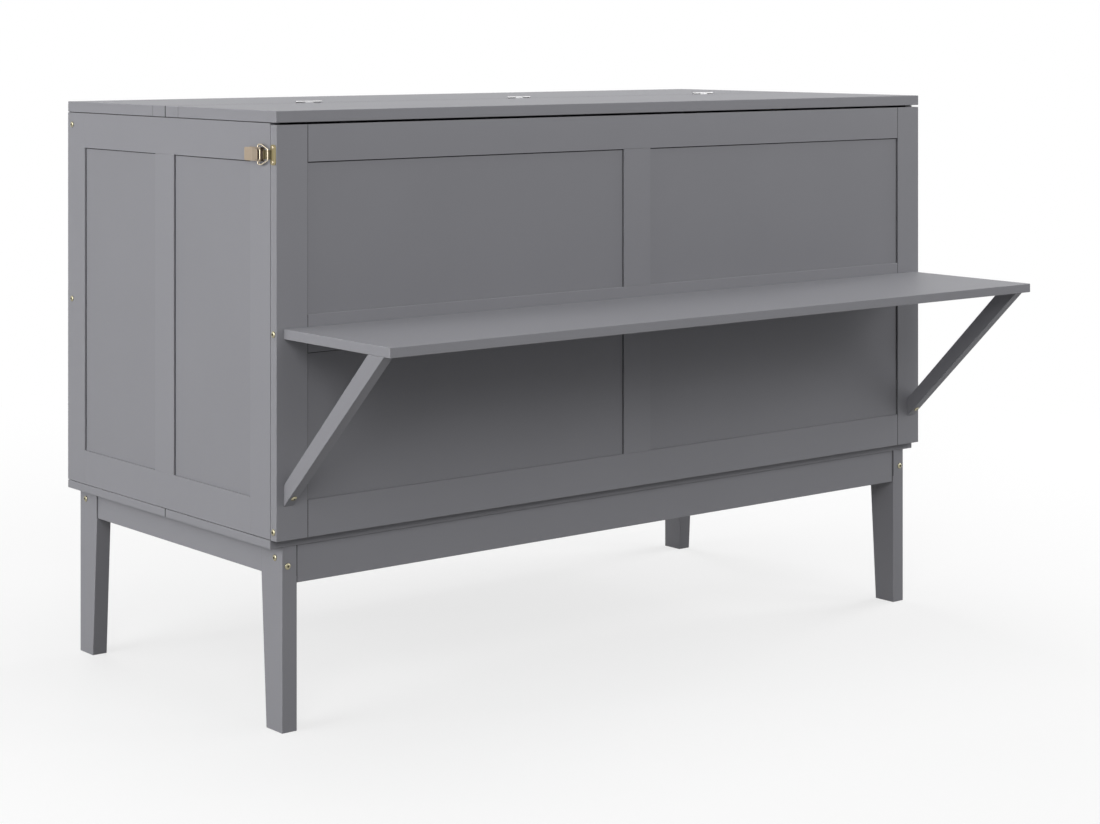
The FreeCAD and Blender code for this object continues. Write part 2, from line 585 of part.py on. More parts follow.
def make_hinges():
    lid_pin = (SPLIT_Y, CABINET_HEIGHT + LID_PIN_RISE)
    on_rear = (DOWN, BACKWARD, SPLIT_GAP / 2, LID_HINGE_WIDTH)
    on_half = (DOWN, FORWARD, SPLIT_GAP / 2, LID_HINGE_WIDTH)
    centres = [centre + LID_HINGE_SHIFT for centre in HINGE_CENTRES]
    fixed, moving, pins = hinge_set(lid_pin, on_rear, on_half, centres)
    parts["lid_hinge_rear_leaves"] = fixed
    parts["lid_hinge_front_leaves"] = moving
    parts["lid_hinge_pins"] = pins
    for centre in centres:
        cut_nodes(["lid_rear"], hinge_mortise(centre, lid_pin, *on_rear))
        cut_nodes(["lid_front"], hinge_mortise(centre, lid_pin, *on_half))

    front_pin = (FRONT_PIN_Y, BASE_TOP)
    on_base = (BACKWARD, DOWN, 0.0, HINGE_WIDTH)
    on_front = (UP, FORWARD, FRONT_GAP / 2, HINGE_WIDTH)
    fixed, moving, pins = hinge_set(front_pin, on_base, on_front)
    parts["front_hinge_base_leaves"] = fixed
    parts["front_hinge_front_leaves"] = moving
    parts["front_hinge_pins"] = pins
    for centre in HINGE_CENTRES:
        cut_nodes(["base_board_front"], hinge_mortise(centre, front_pin, *on_base))
        cut_nodes(["front_rail_bottom"], hinge_mortise(centre, front_pin, *on_front))

    leaf_pin = (INNER_FACE_Y + FRONT_GAP / 2, LEAF_PIN_Z)
    on_rail = (DOWN, FORWARD, FRONT_GAP / 2, HINGE_WIDTH)
    on_leaf = (DOWN, BACKWARD, FRONT_GAP / 2, HINGE_WIDTH)
    fixed, moving, pins = hinge_set(leaf_pin, on_rail, on_leaf)
    parts["leaf_hinge_front_leaves"] = fixed
    parts["leaf_hinge_leaves"] = moving
    parts["leaf_hinge_pins"] = pins
    depth = HINGE_BARREL_RADIUS + 0.7
    half = HINGE_LENGTH / 2 + MORTISE_CLEARANCE
    for centre in HINGE_CENTRES:
        rebate = box(centre - half, centre + half, INNER_FACE_Y - depth, INNER_FACE_Y + 1,
                     LEAF_PIN_Z - depth, FRONT_TOP + 1)
        cut_nodes(["front_rail_top"], hinge_mortise(centre, leaf_pin, *on_rail) + [rebate])
        cut_nodes(["leaf_board"], hinge_mortise(centre, leaf_pin, *on_leaf)[:1])


# ---- bolts and screws in the frames ----------------------------------------------------
def make_bolts():
    right = Vector(1, 0, 0)
    carcass = []
    carcass_holes = []
    back_y = (BACK_INNER_Y + BACK_OUTER_Y) / 2
    for z in (LID_BOTTOM - BACK_BOLT_DROP, MIDDLE_RAIL_CENTRE + MIDDLE_BOLT_RISE):
        bolt, hole = button_bolt(Vector(SIDE_X, back_y, z), right, SIDE_THICKNESS + BOLT_BITE)
        carcass.append(bolt)
        carcass_holes.append(hole)
    leg_x = SIDE_X - LEG_SIDE_INSET
    apron_x = leg_x - APRON_SETBACK - SIDE_APRON_THICKNESS / 2
    for rear in (False, True):
        outer = leg_y_range(rear)[0]
        inward = -1 if rear else 1
        seat = Vector(leg_x, outer + inward * LEG_SIDE_BOLT_IN, LEG_HEIGHT - LEG_SIDE_BOLT_DROP)
        bolt, hole = button_bolt(seat, right, LEG_WIDTH + BOLT_BITE)
        carcass.append(bolt)
        carcass_holes.append(hole)
        seat = Vector(apron_x, outer, LEG_HEIGHT - LEG_FACE_BOLT_DROP)
        bolt, hole = button_bolt(seat, Vector(0, -inward, 0), LEG_DEPTH + BOLT_BITE)
        carcass.append(bolt)
        carcass_holes.append(hole)
    parts["cabinet_bolts"] = both_sides(carcass)
    drilled = ["side_left_stiles", "side_right_stiles", "back_frame", "apron_front",
               "apron_rear", "apron_left", "apron_right", "leg_front_left",
               "leg_front_right", "leg_rear_left", "leg_rear_right"]
    cut_nodes(drilled, both_sides(carcass_holes))

    front = []
    front_holes = []
    mid_y = FACE_Y + FRONT_THICKNESS / 2
    for z in (MIDDLE_RAIL_CENTRE + MIDDLE_BOLT_RISE, BASE_TOP + FRONT_BOLT_RISE):
        bolt, hole = button_bolt(Vector(FRONT_X, mid_y, z), right, FRONT_STILE + BOLT_BITE)
        front.append(bolt)
        front_holes.append(hole)
    under = shelf_top() - SHELF_THICKNESS
    slope = Vector(0, -STRUT_REACH, STRUT_DROP).normalize()
    outward = Vector(0, -slope.z, slope.y)
    along = STRUT_BOLT_RISE / slope.z
    foot = Vector(SIDE_X - SHELF_END_INSET - STRUT_WIDTH / 2, FACE_Y, under - STRUT_DROP)
    bolt, hole = button_bolt(foot + slope * along, outward, STRUT_BOLT_LENGTH)
    front.append(bolt)
    front_holes.append(hole)
    screws = []
    span = 2 * (SIDE_X - SHELF_END_INSET)
    for place in range(SHELF_SCREWS):
        x = -span / 2 + span * (place + 0.5) / SHELF_SCREWS
        seat = Vector(x, INNER_FACE_Y, under + SHELF_THICKNESS / 2)
        screws.append(flush_screw(seat, Vector(0, 1, 0), FRONT_THICKNESS + SHELF_SCREW_BITE))
    parts["front_bolts"] = both_sides(front) + [screw for screw, _ in screws]
    holes = both_sides(front_holes) + [hole for _, hole in screws]
    cut_nodes(["front_stile_left", "front_stile_right", "front_rail_middle", "shelf",
               "front_rail_bottom", "strut_left", "strut_right"], holes)


# ---- draw latches ----------------------------------------------------------------------
LATCH_Z = LID_BOTTOM - LATCH_DROP
PIVOT_Y = FACE_Y + LATCH_PIVOT_FROM_FACE
PIVOT_X = SIDE_X + LATCH_PIVOT_OUT
BAIL_Y = PIVOT_Y + BAIL_PIVOT_BACK
BAIL_X = SIDE_X + BAIL_PIVOT_OUT


def latch_base():
    half = LATCH_WIDTH / 2
    plate = box(SIDE_X, SIDE_X + LATCH_PLATE, PIVOT_Y - LATCH_EAR_RADIUS,
                PIVOT_Y + LATCH_TAIL, LATCH_Z - half, LATCH_Z + half)
    solids = [plate]
    for low in (LATCH_Z - half, LATCH_Z + half - LATCH_EAR):
        high = low + LATCH_EAR
        solids.append(box(SIDE_X, PIVOT_X, PIVOT_Y - LATCH_EAR_RADIUS,
                          PIVOT_Y + LATCH_EAR_RADIUS, low, high))
        solids.append(rod_along_z(LATCH_EAR_RADIUS, PIVOT_X, PIVOT_Y, low, high))
    hole = rod_along_z(LATCH_PIN_RADIUS + RUNNING_CLEARANCE, PIVOT_X, PIVOT_Y,
                       LATCH_Z - LATCH_WIDTH, LATCH_Z + LATCH_WIDTH)
    return fused(solids).cut(hole).Solids[0]


def latch_lever():
    half = LATCH_WIDTH / 2 - 0.5
    cheek_out = LATCH_WIDTH / 2 - LATCH_EAR - LEVER_SIDE_GAP
    low = SIDE_X + LEVER_LIFT
    high = low + LATCH_PLATE
    start = PIVOT_Y + LATCH_EAR_RADIUS + 2 * LEVER_SIDE_GAP
    tail = PIVOT_Y + LATCH_TAIL
    bend = tail - LEVER_TIP_LENGTH
    tip = LEVER_TIP_RISE
    plate = [(low, start), (low, bend), (low + tip, tail), (high + tip, tail),
             (high, bend), (high, start)]
    solids = [prism_along_z(plate, LATCH_Z - half, LATCH_Z + half)]
    under = BAIL_X - BAIL_WIRE_RADIUS - LATCH_PLATE
    diagonal = LEVER_CHEEK_RADIUS * math.sqrt(0.5)
    web = [(PIVOT_X - diagonal, PIVOT_Y), (under, BAIL_Y), (under, BAIL_Y + 2 * LATCH_PLATE),
           (low, BAIL_Y + LEVER_LIFT), (low + LATCH_PLATE / 2, BAIL_Y + LEVER_LIFT),
           (PIVOT_X + diagonal, PIVOT_Y)]
    for sign in (-1, 1):
        z0 = LATCH_Z + sign * cheek_out
        z1 = LATCH_Z + sign * (cheek_out - LATCH_EAR)
        bottom, top = min(z0, z1), max(z0, z1)
        solids.append(prism_along_z(web, bottom, top))
        solids.append(rod_along_z(LEVER_CHEEK_RADIUS, PIVOT_X, PIVOT_Y, bottom, top))
    reach = LATCH_WIDTH
    holes = [
        rod_along_z(LATCH_PIN_RADIUS + RUNNING_CLEARANCE, PIVOT_X, PIVOT_Y,
                    LATCH_Z - reach, LATCH_Z + reach),
        rod_along_z(BAIL_WIRE_RADIUS + RUNNING_CLEARANCE, BAIL_X, BAIL_Y,
                    LATCH_Z - reach, LATCH_Z + reach),
    ]
    return fused(solids).cut(Part.makeCompound(holes)).Solids[0]


def rounded_path(points, radius):
    """A wire through the points, with an arc of one radius at each inner point."""
    edges = []
    start = points[0]
    for before, corner, after in zip(points, points[1:], points[2:]):
        back = (before - corner).normalize()
        ahead = (after - corner).normalize()
        half_turn = back.getAngle(ahead) / 2
        setback = radius / math.tan(half_turn)
        arc_start = corner + back * setback
        arc_end = corner + ahead * setback
        bisector = (back + ahead).normalize()
        centre = corner + bisector * (radius / math.sin(half_turn))
        middle = centre - bisector * radius
        edges.append(Part.LineSegment(start, arc_start).toShape())
        edges.append(Part.Arc(arc_start, middle, arc_end).toShape())
        start = arc_end
    edges.append(Part.LineSegment(start, points[-1]).toShape())
    return Part.Wire(edges)


def latch_bail():
    """A wire loop whose turned-in ends pivot in the lever's cheeks."""
    inner_end = LATCH_WIDTH / 2 - LATCH_EAR - LEVER_SIDE_GAP - LATCH_EAR
    shoulder_y = BAIL_Y - BAIL_SHOULDER
    nose_y = BAIL_Y - BAIL_LENGTH
    half_path = [(BAIL_Y, inner_end), (BAIL_Y, BAIL_HALF_WIDTH), (shoulder_y, BAIL_HALF_WIDTH),
                 (nose_y, BAIL_NOSE_HALF_WIDTH)]
    upper = [Vector(BAIL_X, y, LATCH_Z + z) for y, z in half_path]
    lower = [Vector(BAIL_X, y, LATCH_Z - z) for y, z in reversed(half_path)]
    path = rounded_path(upper + lower, BAIL_BEND)
    profile = Part.Wire(Part.makeCircle(BAIL_WIRE_RADIUS, upper[0], Vector(0, 0, 1)))
    return path.makePipeShell([profile], True, False)


def latch_catch():
    y0 = FACE_Y + CATCH_MARGIN
    y1 = INNER_FACE_Y - CATCH_MARGIN
    seat = FRONT_X
    plate = box(seat, seat + LATCH_PLATE, y0, y1, LATCH_Z - CATCH_HALF_HEIGHT,
                LATCH_Z + CATCH_HALF_HEIGHT)
    corners = [edge for edge in plate.Edges
               if edge.BoundBox.YLength < 0.01 and edge.BoundBox.ZLength < 0.01]
    plate = plate.makeFillet(CATCH_CORNER, corners)
    under = SIDE_X + CATCH_TONGUE_OUT
    over = under + LATCH_PLATE
    lip_y = FACE_Y + CATCH_LIP_FROM_FACE
    rise = under - seat
    root = y1 - CATCH_CORNER
    top_y = y1 - LATCH_PLATE * (math.sqrt(2) - 1)
    tongue = [(seat, root), (seat, y1), (under, y1 + rise), (under, lip_y),
              (over + CATCH_LIP, lip_y), (over + CATCH_LIP, lip_y - LATCH_PLATE),
              (over, lip_y - LATCH_PLATE), (over, top_y + rise),
              (seat + LATCH_PLATE, top_y), (seat + LATCH_PLATE, root)]
    hook = prism_along_z(tongue, LATCH_Z - CATCH_TONGUE_HALF, LATCH_Z + CATCH_TONGUE_HALF)
    return fused([plate, hook])


def make_latches():
    right = Vector(1, 0, 0)
    base = latch_base()
    catch = latch_catch()
    base_screws = []
    catch_screws = []
    base_holes = []
    catch_holes = []
    for back in BASE_SCREWS_BACK:
        screw, hole = round_screw(Vector(SIDE_X + LATCH_PLATE, PIVOT_Y + back, LATCH_Z), right)
        base_screws.append(screw)
        base_holes.append(hole)
    mid_y = FACE_Y + FRONT_THICKNESS / 2
    for offset in (-CATCH_SCREW_OFFSET, CATCH_SCREW_OFFSET):
        seat = Vector(FRONT_X + LATCH_PLATE, mid_y, LATCH_Z + offset)
        screw, hole = round_screw(seat, right)
        catch_screws.append(screw)
        catch_holes.append(hole)
    pin = rod_along_z(LATCH_PIN_RADIUS, PIVOT_X, PIVOT_Y, LATCH_Z - LATCH_WIDTH / 2 - 0.6,
                      LATCH_Z + LATCH_WIDTH / 2 + 0.6)
    pieces = {"base": cut([base], base_holes)[0], "lever": latch_lever(),
              "bail": latch_bail(), "catch": cut([catch], catch_holes)[0]}
    for name, solid in pieces.items():
        parts["latch_" + name + "_right"] = [solid]
        parts["latch_" + name + "_left"] = [mirrored(solid)]
    parts["latch_pins"] = both_sides([pin])
    parts["latch_base_screws"] = both_sides(base_screws)
    parts["latch_catch_screws"] = both_sides(catch_screws)
    cut_nodes(["side_left_stiles", "side_right_stiles", "side_left_rails", "side_right_rails"],
              both_sides(base_holes))
    cut_nodes(["front_stile_left", "front_stile_right"], both_sides(catch_holes))


def save_parts():
    for name, solids in sorted(parts.items()):
        shape = solids[0] if len(solids) == 1 else Part.makeCompound(solids)
        if not shape.isValid():
            raise ValueError(name + " isn't a valid shape")
        shape.exportStep(os.path.join("parts", name + ".step"))


make_legs()
make_aprons()
make_base_boards()
make_sides()
make_back()
make_lid()
make_front()
make_shelf()
make_leaf()
make_hinges()
make_bolts()
make_latches()
save_parts()
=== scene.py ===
"""Finishes a cabinet bed: painted boards, bare inner timber, hinges, bolts and draw latches."""

import json
import math

import bmesh
import bpy
from bpy.props import FloatProperty, FloatVectorProperty, IntProperty, PointerProperty
from mathutils import Matrix, Vector

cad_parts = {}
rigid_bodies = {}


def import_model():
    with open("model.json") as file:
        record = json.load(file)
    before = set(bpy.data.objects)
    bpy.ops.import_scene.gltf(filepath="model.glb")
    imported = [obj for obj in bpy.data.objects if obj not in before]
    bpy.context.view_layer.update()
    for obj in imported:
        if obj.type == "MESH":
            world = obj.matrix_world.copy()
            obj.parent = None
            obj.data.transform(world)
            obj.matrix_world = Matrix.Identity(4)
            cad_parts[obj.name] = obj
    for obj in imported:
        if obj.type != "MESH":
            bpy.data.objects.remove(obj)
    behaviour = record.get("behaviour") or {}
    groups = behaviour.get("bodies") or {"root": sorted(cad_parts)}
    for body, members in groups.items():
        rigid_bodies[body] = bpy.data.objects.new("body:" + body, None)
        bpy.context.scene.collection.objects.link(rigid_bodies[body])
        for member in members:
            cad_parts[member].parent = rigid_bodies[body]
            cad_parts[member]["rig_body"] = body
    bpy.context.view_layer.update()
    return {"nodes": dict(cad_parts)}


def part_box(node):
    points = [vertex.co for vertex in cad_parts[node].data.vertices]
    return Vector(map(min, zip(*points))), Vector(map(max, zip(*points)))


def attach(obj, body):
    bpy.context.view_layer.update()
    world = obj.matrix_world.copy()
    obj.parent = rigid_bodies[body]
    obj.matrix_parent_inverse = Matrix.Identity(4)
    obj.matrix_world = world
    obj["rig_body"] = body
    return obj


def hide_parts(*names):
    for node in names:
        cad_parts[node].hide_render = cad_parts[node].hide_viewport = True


bl_info = {
    "name": "Cabinet bed",
    "version": (1, 0, 0),
    "blender": (4, 5, 0),
    "location": "View3D > Sidebar > Cabinet bed",
    "description": "Builds the finished pieces of a cabinet bed on its frame",
    "category": "Object",
}

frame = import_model()

# Lengths are in metres.
RIGHT = Vector((1, 0, 0))
BACK = Vector((0, 1, 0))
UP = Vector((0, 0, 1))
SAME = 1e-6  # points nearer than this are one
NEAR = 1e-5  # points nearer than this lie on one plane
BEYOND = 0.001  # how far a cut passes out of the wood
CREASE = math.radians(48.0)  # edges sharper than this aren't shaded smooth
WHITE = (1.0, 1.0, 1.0, 1.0)
PAINTED_SHADE_TONE = 0.12  # painted shade: the share of its colour a surface keeps in a joint or recess
JOINT_WIDTH = 0.0012

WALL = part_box("side_right_stiles")[1].x
FOOT = 0.050
GROOVE_ROOM = 0.0002
PANEL_ARRIS = 0.0004
PANEL_TONGUE = 0.008
FRONT_ARRIS = 1.7  # the front's edges, against the other frames'
# Widths and depths of the narrow cuts
QUIRK = (0.0016, 0.0025)
SHADOW_GAP = (0.0012, 0.003)
APRON_STEP = (0.0018, 0.003)
CENTRE_STEP = (0.0009, 0.0015)

# A hinge's pin is given by its y and z.
HINGE_HALF = 0.0285
HINGE_SPACING = 0.504
LID_HINGES = [0.0175 + HINGE_SPACING * turn for turn in (-1, 0, 1)]
OTHER_HINGES = [HINGE_SPACING * turn for turn in (-1, 0, 1)]
LID_PIN = (0.156, 1.06205)
LID_POCKET = (0.0004, 0.0019)  # its near and far side, from the pin
LID_POCKET_Z = (1.0429, 1.0610)
FRONT_PIN = (-0.19525, 0.3324)
LEAF_PIN = (-0.19525, 1.033)
PIN_RADIUS = 0.0010
BARREL_RADIUS = 0.0019
PLATE_START = 0.0023
OUTER_STEP = 0.00965
INNER_STEP = 0.00935

# A latch's pin is given by its x and y.
LATCH_Z = 0.9855
LEVER_PIN = (WALL + 0.006, -0.1725)
BAIL_PIN = (WALL + 0.005, -0.1645)
BAIL_BEND = 0.0026
LATCH_END = LEVER_PIN[1] + 0.0425
SHADED_METAL = -0.5  # the latches' standing parts, which get little light

BOLT_SHANK = 0.003
BOLT_RIM = 0.0007
STRUT_SLOPE = Vector((0.0, -0.6943, -0.7197))
STRUT_BOLT = (0.7705, -0.23058, 0.4060)
SHELF_SCREWS = (-0.585375, -0.195125, 0.195125, 0.585375)


# ---- what a user may change ----
def length(name, description, default):
    return FloatProperty(name=name, description=description, default=default, min=0.0,
                         unit="LENGTH", precision=5)


def share(name, description, default):
    return FloatProperty(name=name, description=description, default=default, min=0.0,
                         max=1.0, subtype="FACTOR")


def colour(name, description, default):
    return FloatVectorProperty(name=name, description=description, default=default,
                               subtype="COLOR", size=3, min=0.0, max=1.0)


class PaintSettings(bpy.types.PropertyGroup):
    colour: colour("Paint", "Colour of the satin paint", (0.266, 0.266, 0.286))
    # Lighter paint on eased edges: paint that lies thin there, and a painted highlight along the
    # edge
    edge_colour: colour("Worn edge", "Paint where it lies thin on an eased edge",
                        (0.318, 0.318, 0.336))
    roughness: share("Roughness", "How matt the satin paint is", 0.50)
    board_arris: length("Board edge", "Rounding of the lid, shelf, leg and apron edges", 0.0010)
    frame_arris: length("Frame edge", "Rounding of the stiles' and rails' edges", 0.00035)
    panel_share: share("Panel tone", "Colour of the thin panels, against the boards", 0.95)


class TimberSettings(bpy.types.PropertyGroup):
    pale: colour("Early wood", "Pale part of a growth ring", (0.64, 0.47, 0.29))
    dark: colour("Late wood", "Dark line of a growth ring", (0.50, 0.33, 0.175))
    roughness: share("Roughness", "How matt the bare timber is", 0.62)
    arris: length("Timber edge", "Rounding of the inner timber's edges", 0.0009)


class HardwareSettings(bpy.types.PropertyGroup):
    bolt_colour: colour("Bolts", "Yellow passivated steel of the bolts", (0.36, 0.325, 0.235))
    latch_colour: colour("Latches", "Satin brass plating of the latches", (0.33, 0.275, 0.215))
    hinge_colour: colour("Hinges", "Nickel plating of the hinges", (0.50, 0.50, 0.505))
    bolt_head: length("Bolt head", "Radius of a bolt's domed head", 0.0057)
    bolt_rise: length("Bolt dome", "Height of a bolt's domed head", 0.0026)
    bolt_socket: length("Bolt socket", "Size of the six-sided socket, across its flats", 0.0040)
    hinge_plate: length("Hinge plate", "Thickness of a hinge's leaf", 0.0015)
    latch_plate: length("Latch plate", "Thickness of the latches' sheet metal", 0.0015)
    wire: length("Bail wire", "Radius of the latches' wire loop", 0.00125)
    twelfths: IntProperty(name="Roundness", description="Twelfths of a round metal edge's sides",
                          default=3, min=1, max=8)


class StageSettings(bpy.types.PropertyGroup):
    floor_colour: colour("Floor", "Colour of the pale floor", (0.92, 0.92, 0.92))
    floor_glow: share("Backdrop on floor", "How far the floor shows the backdrop's white", 0.70)
    daylight: FloatProperty(name="Daylight", description="Strength of the even light all round",
                            default=0.03, min=0.0)
    lens: FloatProperty(name="Lens", description="Focal length of the camera", default=79.2,
                        min=1.0, unit="CAMERA")


def settings(name):
    return getattr(bpy.context.scene, "cabinet_" + name)


# ---- shaders ----
class Wire:
    """A shader socket that stands in a Python expression."""

    def __init__(self, tree, socket):
        self.tree = tree
        self.socket = socket

    def maths(self, operation, first, second):
        return self.tree.add("ShaderNodeMath", {0: first, 1: second}, operation=operation)

    def __add__(self, other):
        return self.maths("ADD", self, other)

    def __sub__(self, other):
        return self.maths("SUBTRACT", self, other)

    def __rsub__(self, other):
        return self.maths("SUBTRACT", other, self)

    def __mul__(self, other):
        return self.maths("MULTIPLY", self, other)

    def __truediv__(self, other):
        return self.maths("DIVIDE", self, other)

    def above(self, other):
        return self.maths("MAXIMUM", self, other)

    __radd__ = __add__
    __rmul__ = __mul__


class Tree:
    """A node tree, with the one way in which its nodes are added."""

    def __init__(self, owner):
        owner.use_nodes = True
        self.nodes = owner.node_tree.nodes
        self.links = owner.node_tree.links
        self.nodes.clear()

    def add(self, kind, inputs=None, out=0, stops=(), **choices):
        node = self.nodes.new(kind)
        for name, value in choices.items():
            setattr(node, name, value)
        for place, (position, tone) in enumerate(stops):
            if place >= len(node.color_ramp.elements):
                node.color_ramp.elements.new(position)
            node.color_ramp.elements[place].position = position
            node.color_ramp.elements[place].color = tone
        for key, value in (inputs or {}).items():
            if isinstance(value, Wire):
                self.links.new(value.socket, node.inputs[key])
            else:
                node.inputs[key].default_value = value
        return Wire(self, node.outputs[out]) if len(node.outputs) else None

    def ramp(self, value, *stops):
        """A number that follows stops of place and height along value."""
        listed = [(place, (high, high, high, 1.0)) for place, high in stops]
        return self.add("ShaderNodeValToRGB", {0: value}, stops=listed)

    def mixed(self, factor, first, second):
        return self.add("ShaderNodeMix", {0: factor, 6: full(first), 7: full(second)}, 2,
                        data_type="RGBA")

    def place(self):
        return self.add("ShaderNodeTexCoord", out=3)

    def stretched(self, run, scale):
        """Places drawn out along one axis, or along none."""
        scales = [scale if axis == run else 1.0 for axis in "xyz"]
        return self.add("ShaderNodeMapping", {0: self.place(), 3: scales})

    def noise(self, where, scale, detail=2.0, roughness=0.5):
        return self.add("ShaderNodeTexNoise", {"Vector": where, "Scale": scale,
                                               "Detail": detail, "Roughness": roughness})

    def bump(self, height, distance, strength):
        return self.add("ShaderNodeBump", {"Height": height, "Distance": distance,
                                           "Strength": strength})

    def attribute(self, name):
        return self.add("ShaderNodeAttribute", out=2, attribute_name=name)


def full(value):
    """A colour with its fourth number, or the wire as it is."""
    return value if isinstance(value, Wire) else (*value[:3], 1.0)


def scaled(tone, by):
    """A colour made darker or lighter."""
    return [min(1.0, c * by) for c in tone]


made_materials = {}


def surface(name, sockets, constants):
    """A material on one principled shader, made once. Sockets returns what varies."""
    if name not in made_materials:
        made_materials[name] = bpy.data.materials.new(name)
        tree = Tree(made_materials[name])
        shader = tree.add("ShaderNodeBsdfPrincipled", {**constants, **sockets(tree)})
        tree.add("ShaderNodeOutputMaterial", {"Surface": shader})
    return made_materials[name]


def paint(grain, part="board"):
    """Satin sprayed paint over boards whose grain runs along one axis."""
    chosen = settings("paint")
    tone = scaled(chosen.colour, chosen.panel_share if part == "panel" else 1.0)

    def sockets(tree):
        mottle = tree.noise(tree.place(), 5.0, 3.0)
        peel = tree.noise(tree.place(), 520.0, 2.0)
        pores = tree.noise(tree.stretched(grain, 0.06), 260.0, 3.0, 0.6)
        specks = tree.ramp(tree.noise(tree.place(), 1500.0, 1.0), (0.66, 0.0), (0.74, 1.0))
        arris = tree.attribute("arris")
        # Eased edges are lighter, for thin worn paint and a painted highlight; joints, pockets
        # and slots are darkened with painted shade.
        wear_and_sheen = arris.above(0.0) * (0.12 + mottle * 0.4)
        joint = (0.0 - arris).above(0.0)
        body = tree.mixed(mottle, scaled(tone, 0.965), scaled(tone, 1.035))
        body = tree.mixed(specks * 0.10, body, scaled(tone, 0.80))
        body = tree.mixed(wear_and_sheen, body, chosen.edge_colour)
        body = tree.mixed(joint, body, scaled(tone, PAINTED_SHADE_TONE))
        return {
            "Base Color": body,
            "Roughness": chosen.roughness - 0.05 + mottle * 0.07 + peel * 0.03,
            "Normal": tree.bump(peel * 0.55 + pores * 0.45, 0.00005, 0.55),
        }

    return surface("satin_paint_" + part + "_" + grain, sockets,
                   {"IOR": 1.45, "Specular IOR Level": 0.20})


def timber(grain):
    """Bare pale softwood under clear matt lacquer, its rings drawn out along one axis."""
    chosen = settings("timber")

    def sockets(tree):
        drift = tree.noise(tree.stretched(grain, 0.35), 3.2, 2.0)
        rings = tree.add("ShaderNodeMath", {0: drift * 22.0}, operation="FRACT")
        line = tree.ramp(rings, (0.0, 0.0), (0.80, 0.45), (0.95, 1.0), (1.0, 0.1))
        fibre = tree.noise(tree.stretched(grain, 0.02), 900.0, 3.0, 0.65)
        patch = tree.noise(tree.place(), 2.0, 2.0)
        body = tree.mixed(line * 0.75, chosen.pale, chosen.dark)
        body = tree.mixed(fibre * 0.35, body, scaled(chosen.pale, 0.78))
        body = tree.mixed(patch * 0.30, body, scaled(chosen.pale, 1.12))
        return {
            "Base Color": body,
            "Roughness": chosen.roughness - 0.06 + fibre * 0.14,
            "Normal": tree.bump(fibre * 0.7 + line * 0.3, 0.00009, 0.6),
        }

    return surface("bare_timber_" + grain, sockets, {"IOR": 1.5})


# Each metal: its material's name, its colour or the setting that holds it, its roughness, the
# axis along which it is brushed, and the tint of its clouding.
METALS = {
    "bolt": ("yellow_passivated_steel", "bolt_colour", 0.24, "", (0.86, 0.90, 0.80)),
    "latch": ("satin_brass", "latch_colour", 0.31, "y", (0.90, 0.86, 0.80)),
    "hinge": ("satin_nickel", "hinge_colour", 0.33, "x", (0.93, 0.93, 0.93)),
    "catch": ("yellow_brass", (0.30, 0.25, 0.145), 0.30, "z", (0.80, 0.84, 0.70)),
    "bail": ("bright_brass", (0.60, 0.53, 0.41), 0.20, "", (0.92, 0.90, 0.86)),
    "rod": ("drawn_steel", (0.58, 0.58, 0.59), 0.36, "x", (0.88, 0.87, 0.86)),
}


def metal(kind):
    """Plated and brushed metal."""
    name, tone, roughness, brushed, tint = METALS[kind]
    if isinstance(tone, str):
        tone = getattr(settings("hardware"), tone)

    def sockets(tree):
        hair = tree.noise(tree.stretched(brushed, 0.05), 2600.0, 3.0, 0.6)
        cloud = tree.noise(tree.place(), 140.0, 2.0)
        arris = tree.attribute("arris")
        # Eased edges are lighter, for wear and a painted highlight; recesses, seat rings and
        # parts out of the light are darkened with painted shade.
        wear_and_sheen = arris.above(0.0)
        painted_metal_shade = (0.0 - arris).above(0.0)
        body = tree.mixed(cloud, tone, [c * t for c, t in zip(tone, tint)])
        body = tree.mixed(wear_and_sheen * 0.45, body, scaled(tone, 1.18))
        body = tree.mixed(painted_metal_shade, body, scaled(tone, PAINTED_SHADE_TONE))
        return {
            "Base Color": body,
            "Roughness": roughness - 0.05 + hair * 0.10 + cloud * 0.08 - wear_and_sheen * 0.05,
            "Normal": tree.bump(hair, 0.000008, 0.5),
        }

    return surface(name, sockets, {"Metallic": 1.0})


# ---- mesh tools ----
def mark(bm, faces, wear_and_sheen=1.0):
    """Says how thin the finish lies on these faces, a lighter edge that is partly a painted
    highlight, or, below zero, how much painted shade they get.
    """
    layer = bm.faces.layers.float.get("arris") or bm.faces.layers.float.new("arris")
    for face in faces:
        face[layer] = wear_and_sheen


def empty():
    """A bmesh whose faces can be marked."""
    bm = bmesh.new()
    mark(bm, [])
    return bm


def block(lo, hi):
    """A box-shaped bmesh between two corners."""
    lo, hi = Vector(lo), Vector(hi)
    bm = empty()
    place = Matrix.Translation((lo + hi) / 2) @ Matrix.Diagonal((*(hi - lo), 1.0))
    bmesh.ops.create_cube(bm, size=1.0, matrix=place)
    return bm


def rounded(bm, radius, segments=3, sharper=50.0, chosen=None):
    """Rounds the edges that are sharper than an angle in degrees, or those chosen."""
    if chosen is None:
        limit = math.radians(sharper)
        chosen = [e for e in bm.edges if e.is_manifold and e.calc_face_angle_signed(0) > limit]
    made = bmesh.ops.bevel(bm, geom=chosen, offset=radius, offset_type="OFFSET",
                           segments=segments, profile=0.5, affect="EDGES",
                           clamp_overlap=True, material=-1)
    # the rounded faces get the lighter edge colour: a thin finish and a painted highlight
    mark(bm, made["faces"])
    return bm


def join(target, source):
    """Moves one bmesh's geometry into another."""
    holder = bpy.data.meshes.new("holder")
    source.to_mesh(holder)
    source.free()
    target.from_mesh(holder)
    bpy.data.meshes.remove(holder)


def gathered(pieces):
    """Several pieces in one bmesh."""
    bm = empty()
    for piece in pieces:
        join(bm, piece)
    return bm


